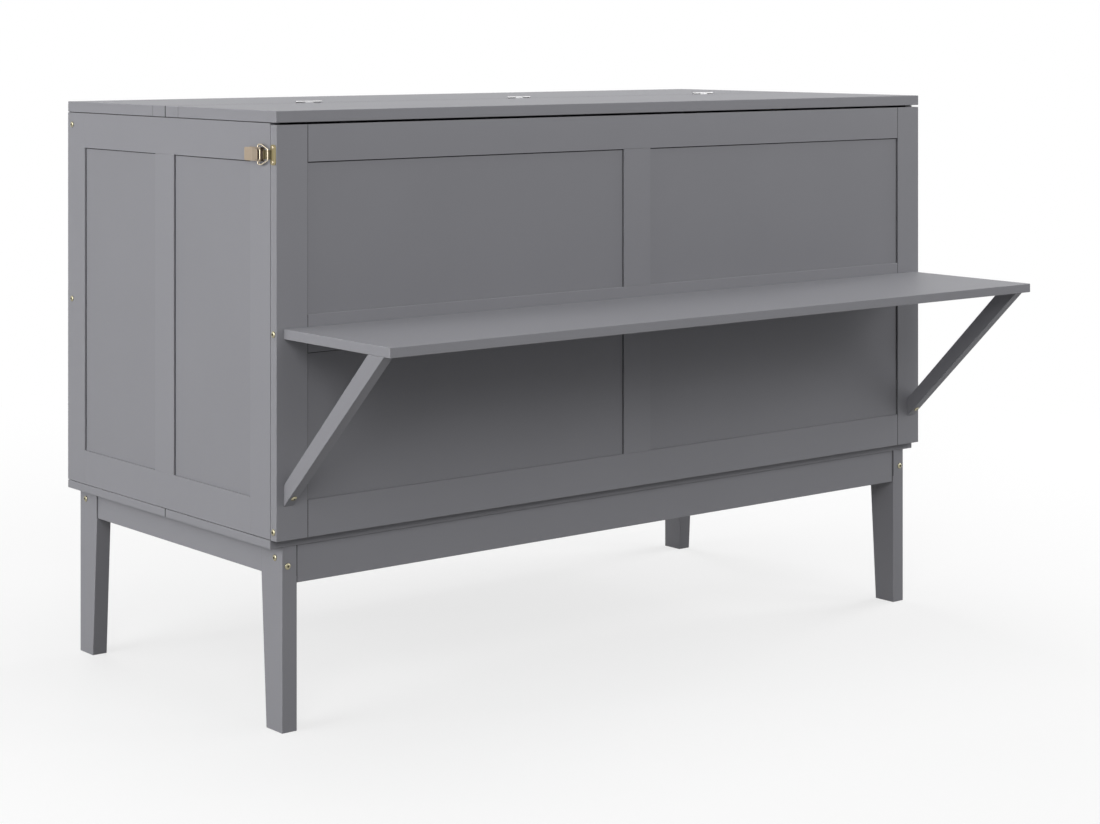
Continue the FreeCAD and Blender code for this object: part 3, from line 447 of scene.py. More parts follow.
def merged(bm, near=SAME):
    """Makes one of points that lie together."""
    bmesh.ops.remove_doubles(bm, verts=bm.verts, dist=near)
    return bm


def faced(bm):
    """Turns every face outwards."""
    bmesh.ops.recalc_face_normals(bm, faces=bm.faces)
    return bm


def new_verts(made):
    """The vertices in what a mesh operator made."""
    return [item for item in made["geom"] if isinstance(item, bmesh.types.BMVert)]


def eased(bm, radius=0.0002):
    """Takes the sharpness off a metal piece's edges."""
    return rounded(bm, radius, 2, sharper=60.0)


def slab(outline, axis, low, high):
    """A few corners in a plane, drawn from low to high along the axis across it."""
    bm = empty()
    spot = "xyz".index(axis)
    corners = [bm.verts.new((*point[:spot], low, *point[spot:])) for point in outline]
    made = bmesh.ops.extrude_face_region(bm, geom=[bm.faces.new(corners)])
    way = Vector([float(letter == axis) for letter in "xyz"])
    bmesh.ops.translate(bm, verts=new_verts(made), vec=way * (high - low))
    return faced(bm)


def edges_at(bm, along, **places):
    """The edges along one axis at the given places on the other axes."""
    run = "xyz".index(along)
    found = []
    for edge in bm.edges:
        first, second = edge.verts
        gap = first.co - second.co
        straight = all(abs(gap[axis]) < SAME for axis in range(3) if axis != run)
        placed_so = all(abs(getattr(first.co, name) - value) < SAME
                        for name, value in places.items())
        if straight and placed_so:
            found.append(edge)
    return found


def turned(profile, closed=False):
    """A round piece about Z: a line of (radius, height) points, spun once."""
    bm = empty()
    points = [bm.verts.new((radius, 0.0, height)) for radius, height in profile]
    pairs = list(zip(points, points[1:]))
    if closed:
        pairs.append((points[-1], points[0]))
    line = [bm.edges.new(pair) for pair in pairs]
    bmesh.ops.spin(bm, geom=points + line, cent=(0, 0, 0), axis=UP, angle=math.tau,
                   steps=12 * settings("hardware").twelfths, use_merge=True)
    return faced(merged(bm, 1e-7))


def six_sided(across):
    """How far a six-sided outline reaches at each angle."""
    sixth = math.radians(60)
    return lambda angle: across / 2 / math.cos((angle + sixth / 2) % sixth - sixth / 2)


def crossed(arm, half_width):
    """How far the outline of a cross reaches at each angle."""
    def reach(angle):
        slant = abs((angle + math.pi / 4) % (math.pi / 2) - math.pi / 4)
        if arm * math.tan(slant) <= half_width:
            return arm / math.cos(slant)
        return half_width / math.sin(slant)

    return reach


def recessed(bm, reach, depth):
    """Sinks a driver's recess of that outline into the open crown of a turned head."""
    ring = [edge for edge in bm.edges if edge.is_boundary]
    for drop in (0.0, depth):
        made = bmesh.ops.extrude_edge_only(bm, edges=ring)
        ring = [item for item in made["geom"] if isinstance(item, bmesh.types.BMEdge)
                and item.is_boundary]
        for vert in new_verts(made):
            angle = math.atan2(vert.co.y, vert.co.x) % math.tau
            vert.co = Vector((reach(angle) * math.cos(angle), reach(angle) * math.sin(angle),
                              vert.co.z - drop))
    floor = new_verts(bmesh.ops.extrude_edge_only(bm, edges=ring))
    centre = Vector((0.0, 0.0, floor[0].co.z - depth * 0.25))
    bmesh.ops.pointmerge(bm, verts=floor, merge_co=centre)
    return faced(bm)


def domed(radius, rim, rise, mouth, steps=6):
    """The outline of a domed head from its edge to the mouth of its recess."""
    last = math.acos(mouth / radius)
    line = [(radius - 0.0001, 0.0), (radius, 0.0001)]
    for step in range(steps + 1):
        angle = last * step / steps
        line.append((radius * math.cos(angle), rim + (rise - rim) * math.sin(angle)))
    return line


def placed(bm, matrix):
    """Moves a piece by a matrix."""
    bmesh.ops.transform(bm, matrix=matrix, verts=bm.verts)
    return bm


def stood(bm, seat, outward):
    """Stands a piece that was made about Z on its seat."""
    turn = Vector(outward).to_track_quat("Z", "Y").to_matrix().to_4x4()
    return placed(bm, Matrix.Translation(seat) @ turn)


def mirrored(bm):
    """Turns a right-hand piece into the left-hand one."""
    bmesh.ops.scale(bm, vec=(-1, 1, 1), verts=bm.verts)
    return faced(bm)


SIDES = {"right": lambda bm: bm, "left": mirrored}


def extent(points):
    """The lowest and the highest corner round some points."""
    return [Vector([pick(point[axis] for point in points) for axis in range(3)])
            for pick in (min, max)]


def divided(bm, normal, place, near):
    """Cuts all faces along a plane across an axis."""
    bmesh.ops.bisect_plane(bm, geom=bm.verts[:] + bm.edges[:] + bm.faces[:],
                           plane_co=normal * place, plane_no=normal, dist=near)


def solids_of(node):
    """The boxes of a node's separate solids, as lowest and highest corners, in order."""
    bm = bmesh.new()
    bm.from_mesh(frame["nodes"][node].data)
    merged(bm)
    left = set(bm.faces)
    boxes = []
    while left:
        found = [left.pop()]
        for face in found:
            for edge in face.edges:
                if len(edge.link_faces) == 2:
                    nearby = [other for other in edge.link_faces if other in left]
                    left.difference_update(nearby)
                    found += nearby
        if len(found) > 8:  # fewer faces than that are a scrap and no solid
            boxes.append(extent([vert.co for face in found for vert in face.verts]))
    bm.free()
    return sorted(boxes, key=lambda box: [round(value, 5) for value in (*box[0], *box[1])])


def pocket(bm, lo, hi):
    """Cuts a box-shaped pocket, open wherever the box passes out of the board."""
    low, high = extent([vert.co for vert in bm.verts])
    if any(lo[axis] > high[axis] - NEAR or hi[axis] < low[axis] + NEAR for axis in range(3)):
        return
    opened = [(axis, side) for axis in range(3) for side in (0, 1)
              if (lo[axis] < low[axis] - NEAR if side == 0 else hi[axis] > high[axis] + NEAR)]
    if not opened:
        return
    for axis in range(3):
        normal = Vector([float(axis == other) for other in range(3)])
        for value in (lo[axis], hi[axis]):
            if low[axis] + NEAR < value < high[axis] - NEAR:
                divided(bm, normal, value, 2e-6)
    reach = [min(hi[axis], high[axis]) - max(lo[axis], low[axis]) for axis in range(3)]
    axis, side = min(opened, key=lambda item: reach[item[0]])
    wall = high[axis] if side else low[axis]
    inner = lo[axis] if side else hi[axis]
    faces = []
    for face in bm.faces:
        middle = face.calc_center_median()
        if abs(abs(face.normal[axis]) - 1.0) > 0.01 or abs(middle[axis] - wall) > NEAR:
            continue
        if all(lo[a] < middle[a] < hi[a] for a in range(3) if a != axis):
            faces.append(face)
    if not faces:
        return
    moved = new_verts(bmesh.ops.extrude_face_region(bm, geom=faces))
    bmesh.ops.delete(bm, geom=[f for f in faces if f.is_valid], context="FACES_ONLY")
    shift = Vector([(inner - wall) * float(a == axis) for a in range(3)])
    bmesh.ops.translate(bm, verts=moved, vec=shift)
    seen = {}
    twins = []
    for face in bm.faces:
        key = tuple(round(value, 6) for value in face.calc_center_median())
        if key in seen:
            twins += [face, seen[key]]
        seen[key] = face
    bmesh.ops.delete(bm, geom=twins, context="FACES")
    bare_edges = [edge for edge in bm.edges if not edge.link_faces]
    bmesh.ops.delete(bm, geom=bare_edges, context="EDGES")
    merged(bm)


def outer_edges(bm, lo, hi):
    """The edges that lie on a board's twelve outer edges."""
    found = []
    for edge in bm.edges:
        walls = [wall for axis in range(3) for wall in (lo[axis], hi[axis])
                 if all(abs(vert.co[axis] - wall) < NEAR for vert in edge.verts)]
        if len(walls) == 2:
            found.append(edge)
    return found


def board(lo, hi, arris, pockets=()):
    """One board with rounded edges and the pockets that cut into it, with painted shade inside
    them.
    """
    bm = block(lo, hi)
    for low, high in pockets:
        pocket(bm, low, high)
    rounded(bm, arris, chosen=outer_edges(bm, lo, hi))
    bmesh.ops.dissolve_degenerate(bm, edges=bm.edges, dist=SAME)
    # painted shade on every face inside a pocket, groove or slot
    for low, high in [grown(box, NEAR) for box in pockets]:
        inside = [face for face in bm.faces
                  if all(a < c < b for a, c, b in zip(low, face.calc_center_median(), high))]
        mark(bm, inside, -1.0)
    return bm


def grown(box, by):
    """A box with a margin all round."""
    margin = Vector((by, by, by))
    return box[0] - margin, box[1] + margin


def finish(bm, node, ending, material):
    """Makes a piece of the bmesh. It rides on its node's body and stands for the node."""
    for face in bm.faces:
        face.smooth = True
    for edge in bm.edges:
        edge.smooth = len(edge.link_faces) == 2 and edge.calc_face_angle(0) < CREASE
    name = node + "." + ending
    mesh = bpy.data.meshes.new(name)
    bm.to_mesh(mesh)
    bm.free()
    mesh.materials.append(material)
    piece = bpy.data.objects.new(name, mesh)
    bpy.context.scene.collection.objects.link(piece)
    even = piece.modifiers.new("Even shading", "WEIGHTED_NORMAL")
    even.keep_sharp = True
    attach(piece, frame["nodes"][node]["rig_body"])
    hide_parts(node)


def painted(bm, node, grain, joints=()):
    """A painted piece, with painted shade along its joints."""
    for joint in joints:
        shaded_joint(bm, *joint)
    finish(bm, node, "painted", paint(grain))


def bare(bm, node, grain="x"):
    """A piece of bare inner timber."""
    finish(bm, node, "bare", timber(grain))


def bare_boards(node):
    """All the boards of a node as one piece of bare timber."""
    arris = settings("timber").arris
    bare(gathered(board(lo, hi, arris) for lo, hi in solids_of(node)), node)


def carried(node):
    """A merged copy of a node whose pockets for hinges are cut already."""
    bm = bmesh.new()
    bm.from_mesh(frame["nodes"][node].data)
    for layer in list(bm.loops.layers.uv.values()):
        bm.loops.layers.uv.remove(layer)
    mark(bm, [])  # first, because a new layer makes faces that are held already invalid
    merged(bm)
    bmesh.ops.dissolve_limit(bm, angle_limit=math.radians(0.5), verts=bm.verts,
                             edges=bm.edges)
    slanted = []
    for face in bm.faces:
        _, second, most = sorted(abs(value) for value in face.normal)
        if abs(second - most) < 0.05 and most > 0.5:
            slanted.append(face)
    # its chamfers get the lighter edge colour: thin paint and a painted highlight
    mark(bm, slanted)
    return bm


def longest(lo, hi):
    """The axis along which a board's grain runs."""
    sizes = [hi[axis] - lo[axis] for axis in range(3)]
    return "xyz"[sizes.index(max(sizes))]


def shaded_joint(bm, axis, place, depth=1.0, above=-1.0):
    """Darkens the eased edges along a joint, where hardly any light gets in."""
    layer = bm.faces.layers.float["arris"]
    for face in bm.faces:
        middle = face.calc_center_median()
        if face[layer] > 0 and abs(middle[axis] - place) < JOINT_WIDTH and middle.z > above:
            face[layer] = -depth


def painted_boards(node, arris, pockets=(), joints=()):
    """All the boards of a node as one painted piece, its grain along the first board."""
    boxes = solids_of(node)
    bm = gathered(board(lo, hi, arris, pockets) for lo, hi in boxes)
    painted(bm, node, longest(*boxes[0]), joints)


def cut(x, y, z):
    """A box-shaped cut, from its two places along each axis."""
    return tuple(Vector(corner) for corner in zip(sorted(x), sorted(y), sorted(z)))


def end_steps(node, width, depth):
    """Steps in a board's front face, at its left end and at its right end."""
    lo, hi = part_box(node)
    return [cut(x, (lo.y - BEYOND, lo.y + depth), (lo.z - BEYOND, hi.z + BEYOND))
            for x in ((lo.x - BEYOND, lo.x + width), (hi.x - width, hi.x + BEYOND))]


def shadow_gaps(z0, z1):
    """Slots along both sides' outer faces, which with the painted shade inside them leave a thin
    dark line between boards.
    """
    return [cut((side * (WALL + BEYOND), side * (WALL - SHADOW_GAP[1])), (-1.0, 1.0), (z0, z1))
            for side in (-1, 1)]


def quirks(lo, hi, axis, outer):
    """Slots in a panel's face, along its top and sides, that draw a dark line round it with the
    painted shade inside them.
    """
    run = 1 - axis
    face = hi[axis] if outer > 0 else lo[axis]
    width, depth = QUIRK
    reach = PANEL_TONGUE + width
    cuts = []
    for across, upper in ((2, True), (run, True), (run, False)):
        low, high = grown((lo, hi), BEYOND)
        low[axis], high[axis] = sorted((face + outer * BEYOND, face - outer * depth))
        if upper:
            low[across] = hi[across] - reach
        else:
            high[across] = lo[across] + reach
        cuts.append((low, high))
    return cuts


# ---- operators: boards ----
class Piece:
    """What every operator here shares."""

    bl_options = {"REGISTER"}


class CABINET_OT_legs(Piece, bpy.types.Operator):
    """Four legs, tapered on their inner sides below the aprons"""

    bl_idname = "cabinet_bed.legs"
    bl_label = "Legs"

    def execute(self, context):
        taper_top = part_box("apron_left")[0].z
        for node in ("leg_front_left", "leg_front_right", "leg_rear_left", "leg_rear_right"):
            lo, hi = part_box(node)
            bm = block(lo, hi)
            divided(bm, UP, taper_top, 1e-7)
            inner, moved = (hi.y, lo.y + FOOT) if "front" in node else (lo.y, hi.y - FOOT)
            for vert in bm.verts:
                if vert.co.z < 1e-4 and abs(vert.co.y - inner) < NEAR:
                    vert.co.y = moved
            rounded(bm, settings("paint").board_arris)
            inner_x = hi.x if "left" in node else lo.x
            painted(bm, node, "z", [(0, inner_x, 0.9, taper_top), (1, inner, 0.6, taper_top)])
        return {"FINISHED"}


class CABINET_OT_base(Piece, bpy.types.Operator):
    """Aprons, the cross rail, corner blocks and the divided base board"""

    bl_idname = "cabinet_bed.base"
    bl_label = "Base"

    def execute(self, context):
        arris = settings("paint").board_arris
        for node, run in (("apron_front", 0), ("apron_rear", 0), ("apron_left", 1),
                          ("apron_right", 1)):
            slots = end_steps(node, *APRON_STEP) if node == "apron_front" else []
            joints = [(run, corner[run], 0.9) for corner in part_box(node)]
            painted_boards(node, arris, slots, joints)
        painted_boards("base_board_rear", arris, (), [(1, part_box("base_board_rear")[0].y)])
        painted(carried("base_board_front"), "base_board_front", "x",
                [(1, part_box("base_board_front")[1].y)])
        arris = settings("timber").arris
        bare(board(*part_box("base_cross_rail"), arris), "base_cross_rail")
        bare(rounded(carried("corner_blocks"), arris, sharper=40.0), "corner_blocks")
        return {"FINISHED"}


class CABINET_OT_walls(Piece, bpy.types.Operator):
    """The two side walls and the back: grooved frames round thin panels"""

    bl_idname = "cabinet_bed.walls"
    bl_label = "Walls"

    def execute(self, context):
        arris = settings("paint").frame_arris
        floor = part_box("base_board_rear")[1].z
        under_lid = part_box("lid_rear")[0].z
        gaps = shadow_gaps(floor - BEYOND, floor + SHADOW_GAP[0])
        gaps += shadow_gaps(under_lid - SHADOW_GAP[0], under_lid + BEYOND)
        walls = [(0, -1, "side_left_stiles", "side_left_rails", "side_left_panels"),
                 (0, 1, "side_right_stiles", "side_right_rails", "side_right_panels"),
                 (1, 1, "back_frame", "back_panels")]
        for axis, outer, *frames, panels in walls:
            grooves = [grown(box, GROOVE_ROOM) for box in solids_of(panels)]
            for node in frames:
                painted_boards(node, arris, grooves + (gaps if axis == 0 else []))
            thin_panels(panels, axis, outer)
        return {"FINISHED"}


def thin_panels(node, axis, outer):
    """Thin panels whose faces look along an axis, outwards by -1 or 1."""
    bm = gathered(board(lo, hi, PANEL_ARRIS, quirks(lo, hi, axis, outer))
                  for lo, hi in solids_of(node))
    finish(bm, node, "painted", paint("z", "panel"))


class CABINET_OT_lid(Piece, bpy.types.Operator):
    """Both halves of the lid, each a board and its lipping, and the cleats under it"""

    bl_idname = "cabinet_bed.lid"
    bl_label = "Lid"

    def execute(self, context):
        reach = HINGE_HALF + 0.00015
        near, far = LID_POCKET
        for node, way in (("lid_rear", 1), ("lid_front", -1)):
            y = (LID_PIN[0] + way * near - way * BEYOND, LID_PIN[0] + way * far)
            pockets = [cut((centre - reach, centre + reach), y, LID_POCKET_Z)
                       for centre in LID_HINGES]
            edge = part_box(node)[0 if way > 0 else 1].y
            lipping = sorted(corner.y for box in solids_of(node) for corner in box)[1]
            painted_boards(node, settings("paint").board_arris, pockets,
                           [(1, edge), (1, lipping, 0.3)])
        bare_boards("lid_cleats")
        return {"FINISHED"}


class CABINET_OT_front(Piece, bpy.types.Operator):
    """The drop front: stiles, rails, centre stile and four thin panels"""

    bl_idname = "cabinet_bed.front"
    bl_label = "Drop front"

    def execute(self, context):
        arris = settings("paint").frame_arris * FRONT_ARRIS
        grooves = [grown(box, GROOVE_ROOM) for box in solids_of("front_panels")]
        joints = [(0, corner.x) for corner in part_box("front_rail_top")]
        for node in ("front_stile_left", "front_stile_right", "front_centre_stiles",
                     "front_rail_middle"):
            steps = []
            if node == "front_centre_stiles":
                steps = end_steps(node, *CENTRE_STEP)[1:]
            painted_boards(node, arris, grooves + steps, joints)
        for node in ("front_rail_top", "front_rail_bottom"):
            painted(carried(node), node, "x", joints)
        thin_panels("front_panels", 1, -1)
        return {"FINISHED"}


class CABINET_OT_shelf(Piece, bpy.types.Operator):
    """The shelf on the drop front and its two slanted struts"""

    bl_idname = "cabinet_bed.shelf"
    bl_label = "Shelf and struts"

    def execute(self, context):
        arris = settings("paint").board_arris
        painted_boards("shelf", arris)
        foot, head, reach, drop = 0.0367, 0.0450, 0.2944, 0.2840
        for node in ("strut_left", "strut_right"):
            lo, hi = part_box(node)
            bottom = hi.z - drop
            outline = [(hi.y, bottom), (hi.y, bottom + foot), (hi.y - reach + head, hi.z),
                       (hi.y - reach, hi.z)]
            bm = rounded(slab(outline, "x", lo.x, hi.x), arris, sharper=20.0)
            painted(bm, node, "y")
        return {"FINISHED"}


def leaf_leg(lo, hi):
    """A folding leg with a rounded foot."""
    bm = block(lo, hi)
    rounded(bm, (hi.y - lo.y) / 2 * 0.999, 8, chosen=edges_at(bm, "x", z=lo.z))
    return rounded(bm, settings("timber").arris)


class CABINET_OT_leaf(Piece, bpy.types.Operator):
    """The fold-out leaf behind the front, with its three folding legs on a shaft"""

    bl_idname = "cabinet_bed.leaf"
    bl_label = "Fold-out leaf"

    def execute(self, context):
        bare(carried("leaf_board"), "leaf_board")
        bare_boards("leaf_rails")
        bare(gathered(leaf_leg(*box) for box in solids_of("leaf_legs")), "leaf_legs", "z")
        lo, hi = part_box("leaf_leg_shaft")
        shaft = eased(rod(lo.x, hi.x, (lo + hi) / 2, (hi.y - lo.y) / 2, 32), 0.0008)
        finish(shaft, "leaf_leg_shaft", "drawn", metal("rod"))
        return {"FINISHED"}


def rod(x0, x1, centre, radius, sides):
    """A round rod along X."""
    bm = empty()
    turn = Matrix.Rotation(math.radians(90), 4, "Y")
    place = Matrix.Translation(((x0 + x1) / 2, centre[1], centre[2])) @ turn
    bmesh.ops.create_cone(bm, cap_ends=True, segments=sides, radius1=radius, radius2=radius,
                          depth=x1 - x0, matrix=place)
    return bm


# ---- operators: bolts and screws ----
def mark_recess(bm, mouth):
    """A driver's recess is dark: hardly any light gets into it."""
    for face in bm.faces:
        middle = face.calc_center_median()
        if middle.z > 0 and math.hypot(middle.x, middle.y) < mouth * 0.8:
            mark(bm, [face], -0.9)


def socket_bolt(seat, outward, shank):
    """A domed bolt: turned head and shank, and a six-sided socket in its crown."""
    chosen = settings("hardware")
    mouth = chosen.bolt_socket * 0.66
    profile = [(0.0, -shank), (BOLT_SHANK * 0.7, -shank), (BOLT_SHANK, -shank + 0.001),
               (BOLT_SHANK, 0.0)]
    profile += domed(chosen.bolt_head, BOLT_RIM, chosen.bolt_rise, mouth)
    bm = recessed(turned(profile), six_sided(chosen.bolt_socket), 0.0014)
    # painted shadow: a dark ring round the head where it sits on the wood
    mark(bm, [face for face in bm.faces if abs(face.calc_center_median().z) < BOLT_RIM], -0.6)
    mark_recess(bm, mouth)
    return stood(bm, seat, outward)


def cross_screw(seat, outward, head, rise, shank):
    """A screw with a domed head and a cross-shaped recess."""
    profile = [(0.0, -shank)]
    if shank > 0.001:
        profile += [(0.0004, -shank), (0.0014, -shank + 0.003), (0.0014, 0.0)]
    profile += domed(head, min(rise * 0.4, 0.0004), rise, head * 0.62, 4)
    bm = recessed(turned(profile), crossed(head * 0.50, head * 0.14), min(0.0009, rise * 0.7))
    mark_recess(bm, head * 0.5)
    return stood(bm, seat, outward)


def centre_of(node, axis):
    """The middle of a node along one axis."""
    lo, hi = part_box(node)
    return (lo[axis] + hi[axis]) / 2


class CABINET_OT_bolts(Piece, bpy.types.Operator):
    """Domed bolts through the legs, walls and front, and the shelf's flat screws"""

    bl_idname = "cabinet_bed.bolts"
    bl_label = "Bolts"

    def execute(self, context):
        leg_low, leg_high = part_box("leg_front_right")
        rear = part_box("leg_rear_right")[1].y
        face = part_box("front_stile_right")[1]
        side_row, face_row = leg_high.z - 0.0215, leg_high.z - 0.0340
        apron, back = centre_of("apron_right", 0), centre_of("back_frame", 1)
        front = centre_of("front_stile_right", 1)
        cabinet = [((leg_high.x, y, side_row), RIGHT, 0.052)
                   for y in (leg_low.y + 0.0224, rear - 0.0224)]
        cabinet += [((apron, leg_low.y, face_row), -BACK, 0.088),
                    ((apron, rear, face_row), BACK, 0.088)]
        cabinet += [((WALL, back, z), RIGHT, 0.041) for z in (1.016, 0.682)]
        drop = [((face.x, front, z), RIGHT, 0.085) for z in (0.682, 0.3474)]
        drop.append((STRUT_BOLT, STRUT_SLOPE, 0.033))
        for node, places in (("cabinet_bolts", cabinet), ("front_bolts", drop)):
            made = [turn(socket_bolt(*place)) for place in places for turn in SIDES.values()]
            if node == "front_bolts":
                made += [cross_screw((x, face.y - 0.0003, 0.6825), BACK, 0.0042, 0.0004, 0.0008)
                         for x in SHELF_SCREWS]
            finish(gathered(made), node, "turned", metal("bolt"))
        return {"FINISHED"}


# ---- operators: hinges ----
def hinge_leaf(width, offset, outer):
    """One leaf in its own axes: the pin along X, the plate along Y, into the wood along Z."""
    plate = settings("hardware").hinge_plate
    step = OUTER_STEP if outer else INNER_STEP
    ends, middle = (0.0, PLATE_START) if outer else (PLATE_START, 0.0)
    outline = [(-HINGE_HALF, ends), (-step, ends), (-step, middle), (step, middle),
               (step, ends), (HINGE_HALF, ends), (HINGE_HALF, width), (-HINGE_HALF, width)]
    bm = slab(outline, "z", offset, offset + plate)
    eased(rounded(bm, 0.0006, 2, chosen=edges_at(bm, "z", y=width)))
    bore, ease = PIN_RADIUS + 0.00005, 0.00025
    for low, high in ((-HINGE_HALF, -step), (step, HINGE_HALF)) if outer else ((-step, step),):
        profile = [(bore, low), (BARREL_RADIUS - ease, low), (BARREL_RADIUS, low + ease),
                   (BARREL_RADIUS, high - ease), (BARREL_RADIUS - ease, high), (bore, high)]
        join(bm, stood(turned(profile, closed=True), (0, 0, 0), RIGHT))
    for x, along in ((-0.020, 0.68), (0.0, 0.42), (0.020, 0.68)):
        seat = (x, width * along, offset + 0.0002)
        join(bm, cross_screw(seat, -UP, 0.0024, 0.0003, 0.0006))
    return bm


def hinges(centres, pin, leaves, pin_node):
    """Hinges on one pin line. Leaves are (node, run, into the wood, offset, width, outer)."""
    for node, run, depth, offset, width, outer in leaves:
        turn = Matrix((RIGHT, run, depth)).transposed().to_4x4()
        bm = gathered(placed(hinge_leaf(width, offset, outer),
                             Matrix.Translation((centre, *pin)) @ turn) for centre in centres)
        finish(faced(bm), node, "plated", metal("hinge"))
    ends = [(centre - HINGE_HALF, centre + HINGE_HALF) for centre in centres]
    bm = gathered(eased(rod(*pair, (0, *pin), PIN_RADIUS, 20), 0.0003) for pair in ends)
    finish(bm, pin_node, "plated", metal("hinge"))


class CABINET_OT_hinges(Piece, bpy.types.Operator):
    """Nine butt hinges: on the lid's joint, under the drop front and on the fold-out leaf"""

    bl_idname = "cabinet_bed.hinges"
    bl_label = "Hinges"

    def execute(self, context):
        hinges(LID_HINGES, LID_PIN,
               [("lid_hinge_rear_leaves", -UP, BACK, 0.0004, 0.019, True),
                ("lid_hinge_front_leaves", -UP, -BACK, 0.0004, 0.019, False)],
               "lid_hinge_pins")
        hinges(OTHER_HINGES, FRONT_PIN,
               [("front_hinge_base_leaves", BACK, -UP, 0.0, 0.024, True),
                ("front_hinge_front_leaves", UP, -BACK, 0.00025, 0.024, False)],
               "front_hinge_pins")
        hinges(OTHER_HINGES, LEAF_PIN,
               [("leaf_hinge_front_leaves", -UP, -BACK, 0.00025, 0.024, True),
                ("leaf_hinge_leaves", -UP, BACK, 0.00025, 0.024, False)],
               "leaf_hinge_pins")
        return {"FINISHED"}


# ---- operators: latches ----
def latch_base(plate):
    """A plate with rounded rear corners and two ears that hold the lever's pin."""
    ear, half = 0.0045, 0.012
    low = LEVER_PIN[1] - ear
    out = LEVER_PIN[0] + ear
    bm = block((WALL, low, LATCH_Z - half), (WALL + plate, LATCH_END, LATCH_Z + half))
    eased(rounded(bm, 0.003, 5, chosen=edges_at(bm, "x", y=LATCH_END)))
    for side in (-1, 1):
        z = sorted((LATCH_Z + side * half, LATCH_Z + side * (half - plate)))
        lug = block((WALL + 0.0004, low, z[0]), (out, low + 2 * ear, z[1]))
        eased(rounded(lug, ear * 0.995, 8, chosen=edges_at(lug, "z", x=out)))
        mark(lug, lug.faces, SHADED_METAL)
        join(bm, lug)
    return bm


def latch_lever(plate):
    """A bent plate with a turned-out finger tip, on two cheeks that turn on the pin."""
    low = WALL + 0.007
    high = low + plate
    start = LEVER_PIN[1] + 0.0053
    bend = LATCH_END - 0.020
    lift = 0.0024
    half = 0.0115
    outline = [(low, start), (low, bend), (low + lift, LATCH_END), (high + lift, LATCH_END),
               (high, bend), (high, start)]
    bm = slab(outline, "z", LATCH_Z - half, LATCH_Z + half)
    creases = edges_at(bm, "z", x=low, y=bend) + edges_at(bm, "z", x=high, y=bend)
    rounded(bm, 0.0015, 3, chosen=creases)
    tip = [edge for edge in bm.edges
           if all(abs(vert.co.y - LATCH_END) < SAME for vert in edge.verts)
           and abs(edge.verts[0].co.x - edge.verts[1].co.x) > plate / 2]
    eased(rounded(bm, 0.0025, 5, chosen=tip), 0.0003)
    cheek = 0.0042
    front = LEVER_PIN[1] - cheek
    outer = LEVER_PIN[0] + cheek
    inner = LEVER_PIN[0] - cheek
    under_bail, behind_bail = BAIL_PIN[0] - 0.00275, BAIL_PIN[1] + 0.007
    side_line = [(inner, front), (outer, front), (outer, front + 2 * cheek),
                 (low + plate / 2, behind_bail), (low, behind_bail),
                 (under_bail, BAIL_PIN[1] + 0.003), (under_bail, BAIL_PIN[1]),
                 (inner, front + 2 * cheek)]
    for side in (-1, 1):
        web = slab(side_line, "z", *sorted((LATCH_Z + side * 0.0101, LATCH_Z + side * 0.0086)))
        nose = edges_at(web, "z", x=inner, y=front) + edges_at(web, "z", x=outer, y=front)
        eased(rounded(web, cheek * 0.97, 7, chosen=nose))
        mark(web, web.faces, SHADED_METAL)
        join(bm, web)
    return bm


def latch_bail(wire):
    """A loop of bent wire whose turned-in ends sit in the lever's cheeks."""
    x, y = BAIL_PIN
    half_line = [(y, 0.0078), (y, 0.017), (y - 0.011, 0.017), (y - 0.031, 0.0095)]
    line = [Vector((x, along, LATCH_Z + z)) for along, z in half_line]
    line += [Vector((x, along, LATCH_Z - z)) for along, z in reversed(half_line)]
    curve = bpy.data.curves.new("bail_wire", "CURVE")
    curve.dimensions = "3D"
    curve.bevel_depth = wire
    curve.bevel_resolution = 3
    curve.resolution_u = 5
    curve.use_fill_caps = True
    points = [(line[0], line[0], line[0])]
    for before, corner, after in zip(line, line[1:], line[2:]):
        back, ahead = (before - corner).normalized(), (after - corner).normalized()
        half_turn = back.angle(ahead) / 2
        setback = BAIL_BEND / math.tan(half_turn)
        pull = BAIL_BEND * 4 / 3 * math.tan((math.pi - 2 * half_turn) / 4)
        first, second = corner + back * setback, corner + ahead * setback
        points.append((first + back * 0.0005, first, first - back * pull))
        points.append((second - ahead * pull, second, second + ahead * 0.0005))
    points.append((line[-1], line[-1], line[-1]))
    spline = curve.splines.new("BEZIER")
    spline.bezier_points.add(len(points) - 1)
    for point, (left, middle, right) in zip(spline.bezier_points, points):
        point.handle_left_type = point.handle_right_type = "FREE"
        point.co, point.handle_left, point.handle_right = middle, left, right
    holder = bpy.data.objects.new("bail_wire", curve)
    mesh = bpy.data.meshes.new_from_object(holder)
    bm = empty()
    bm.from_mesh(mesh)
    bpy.data.objects.remove(holder)
    bpy.data.curves.remove(curve)
    bpy.data.meshes.remove(mesh)
    return faced(merged(bm))


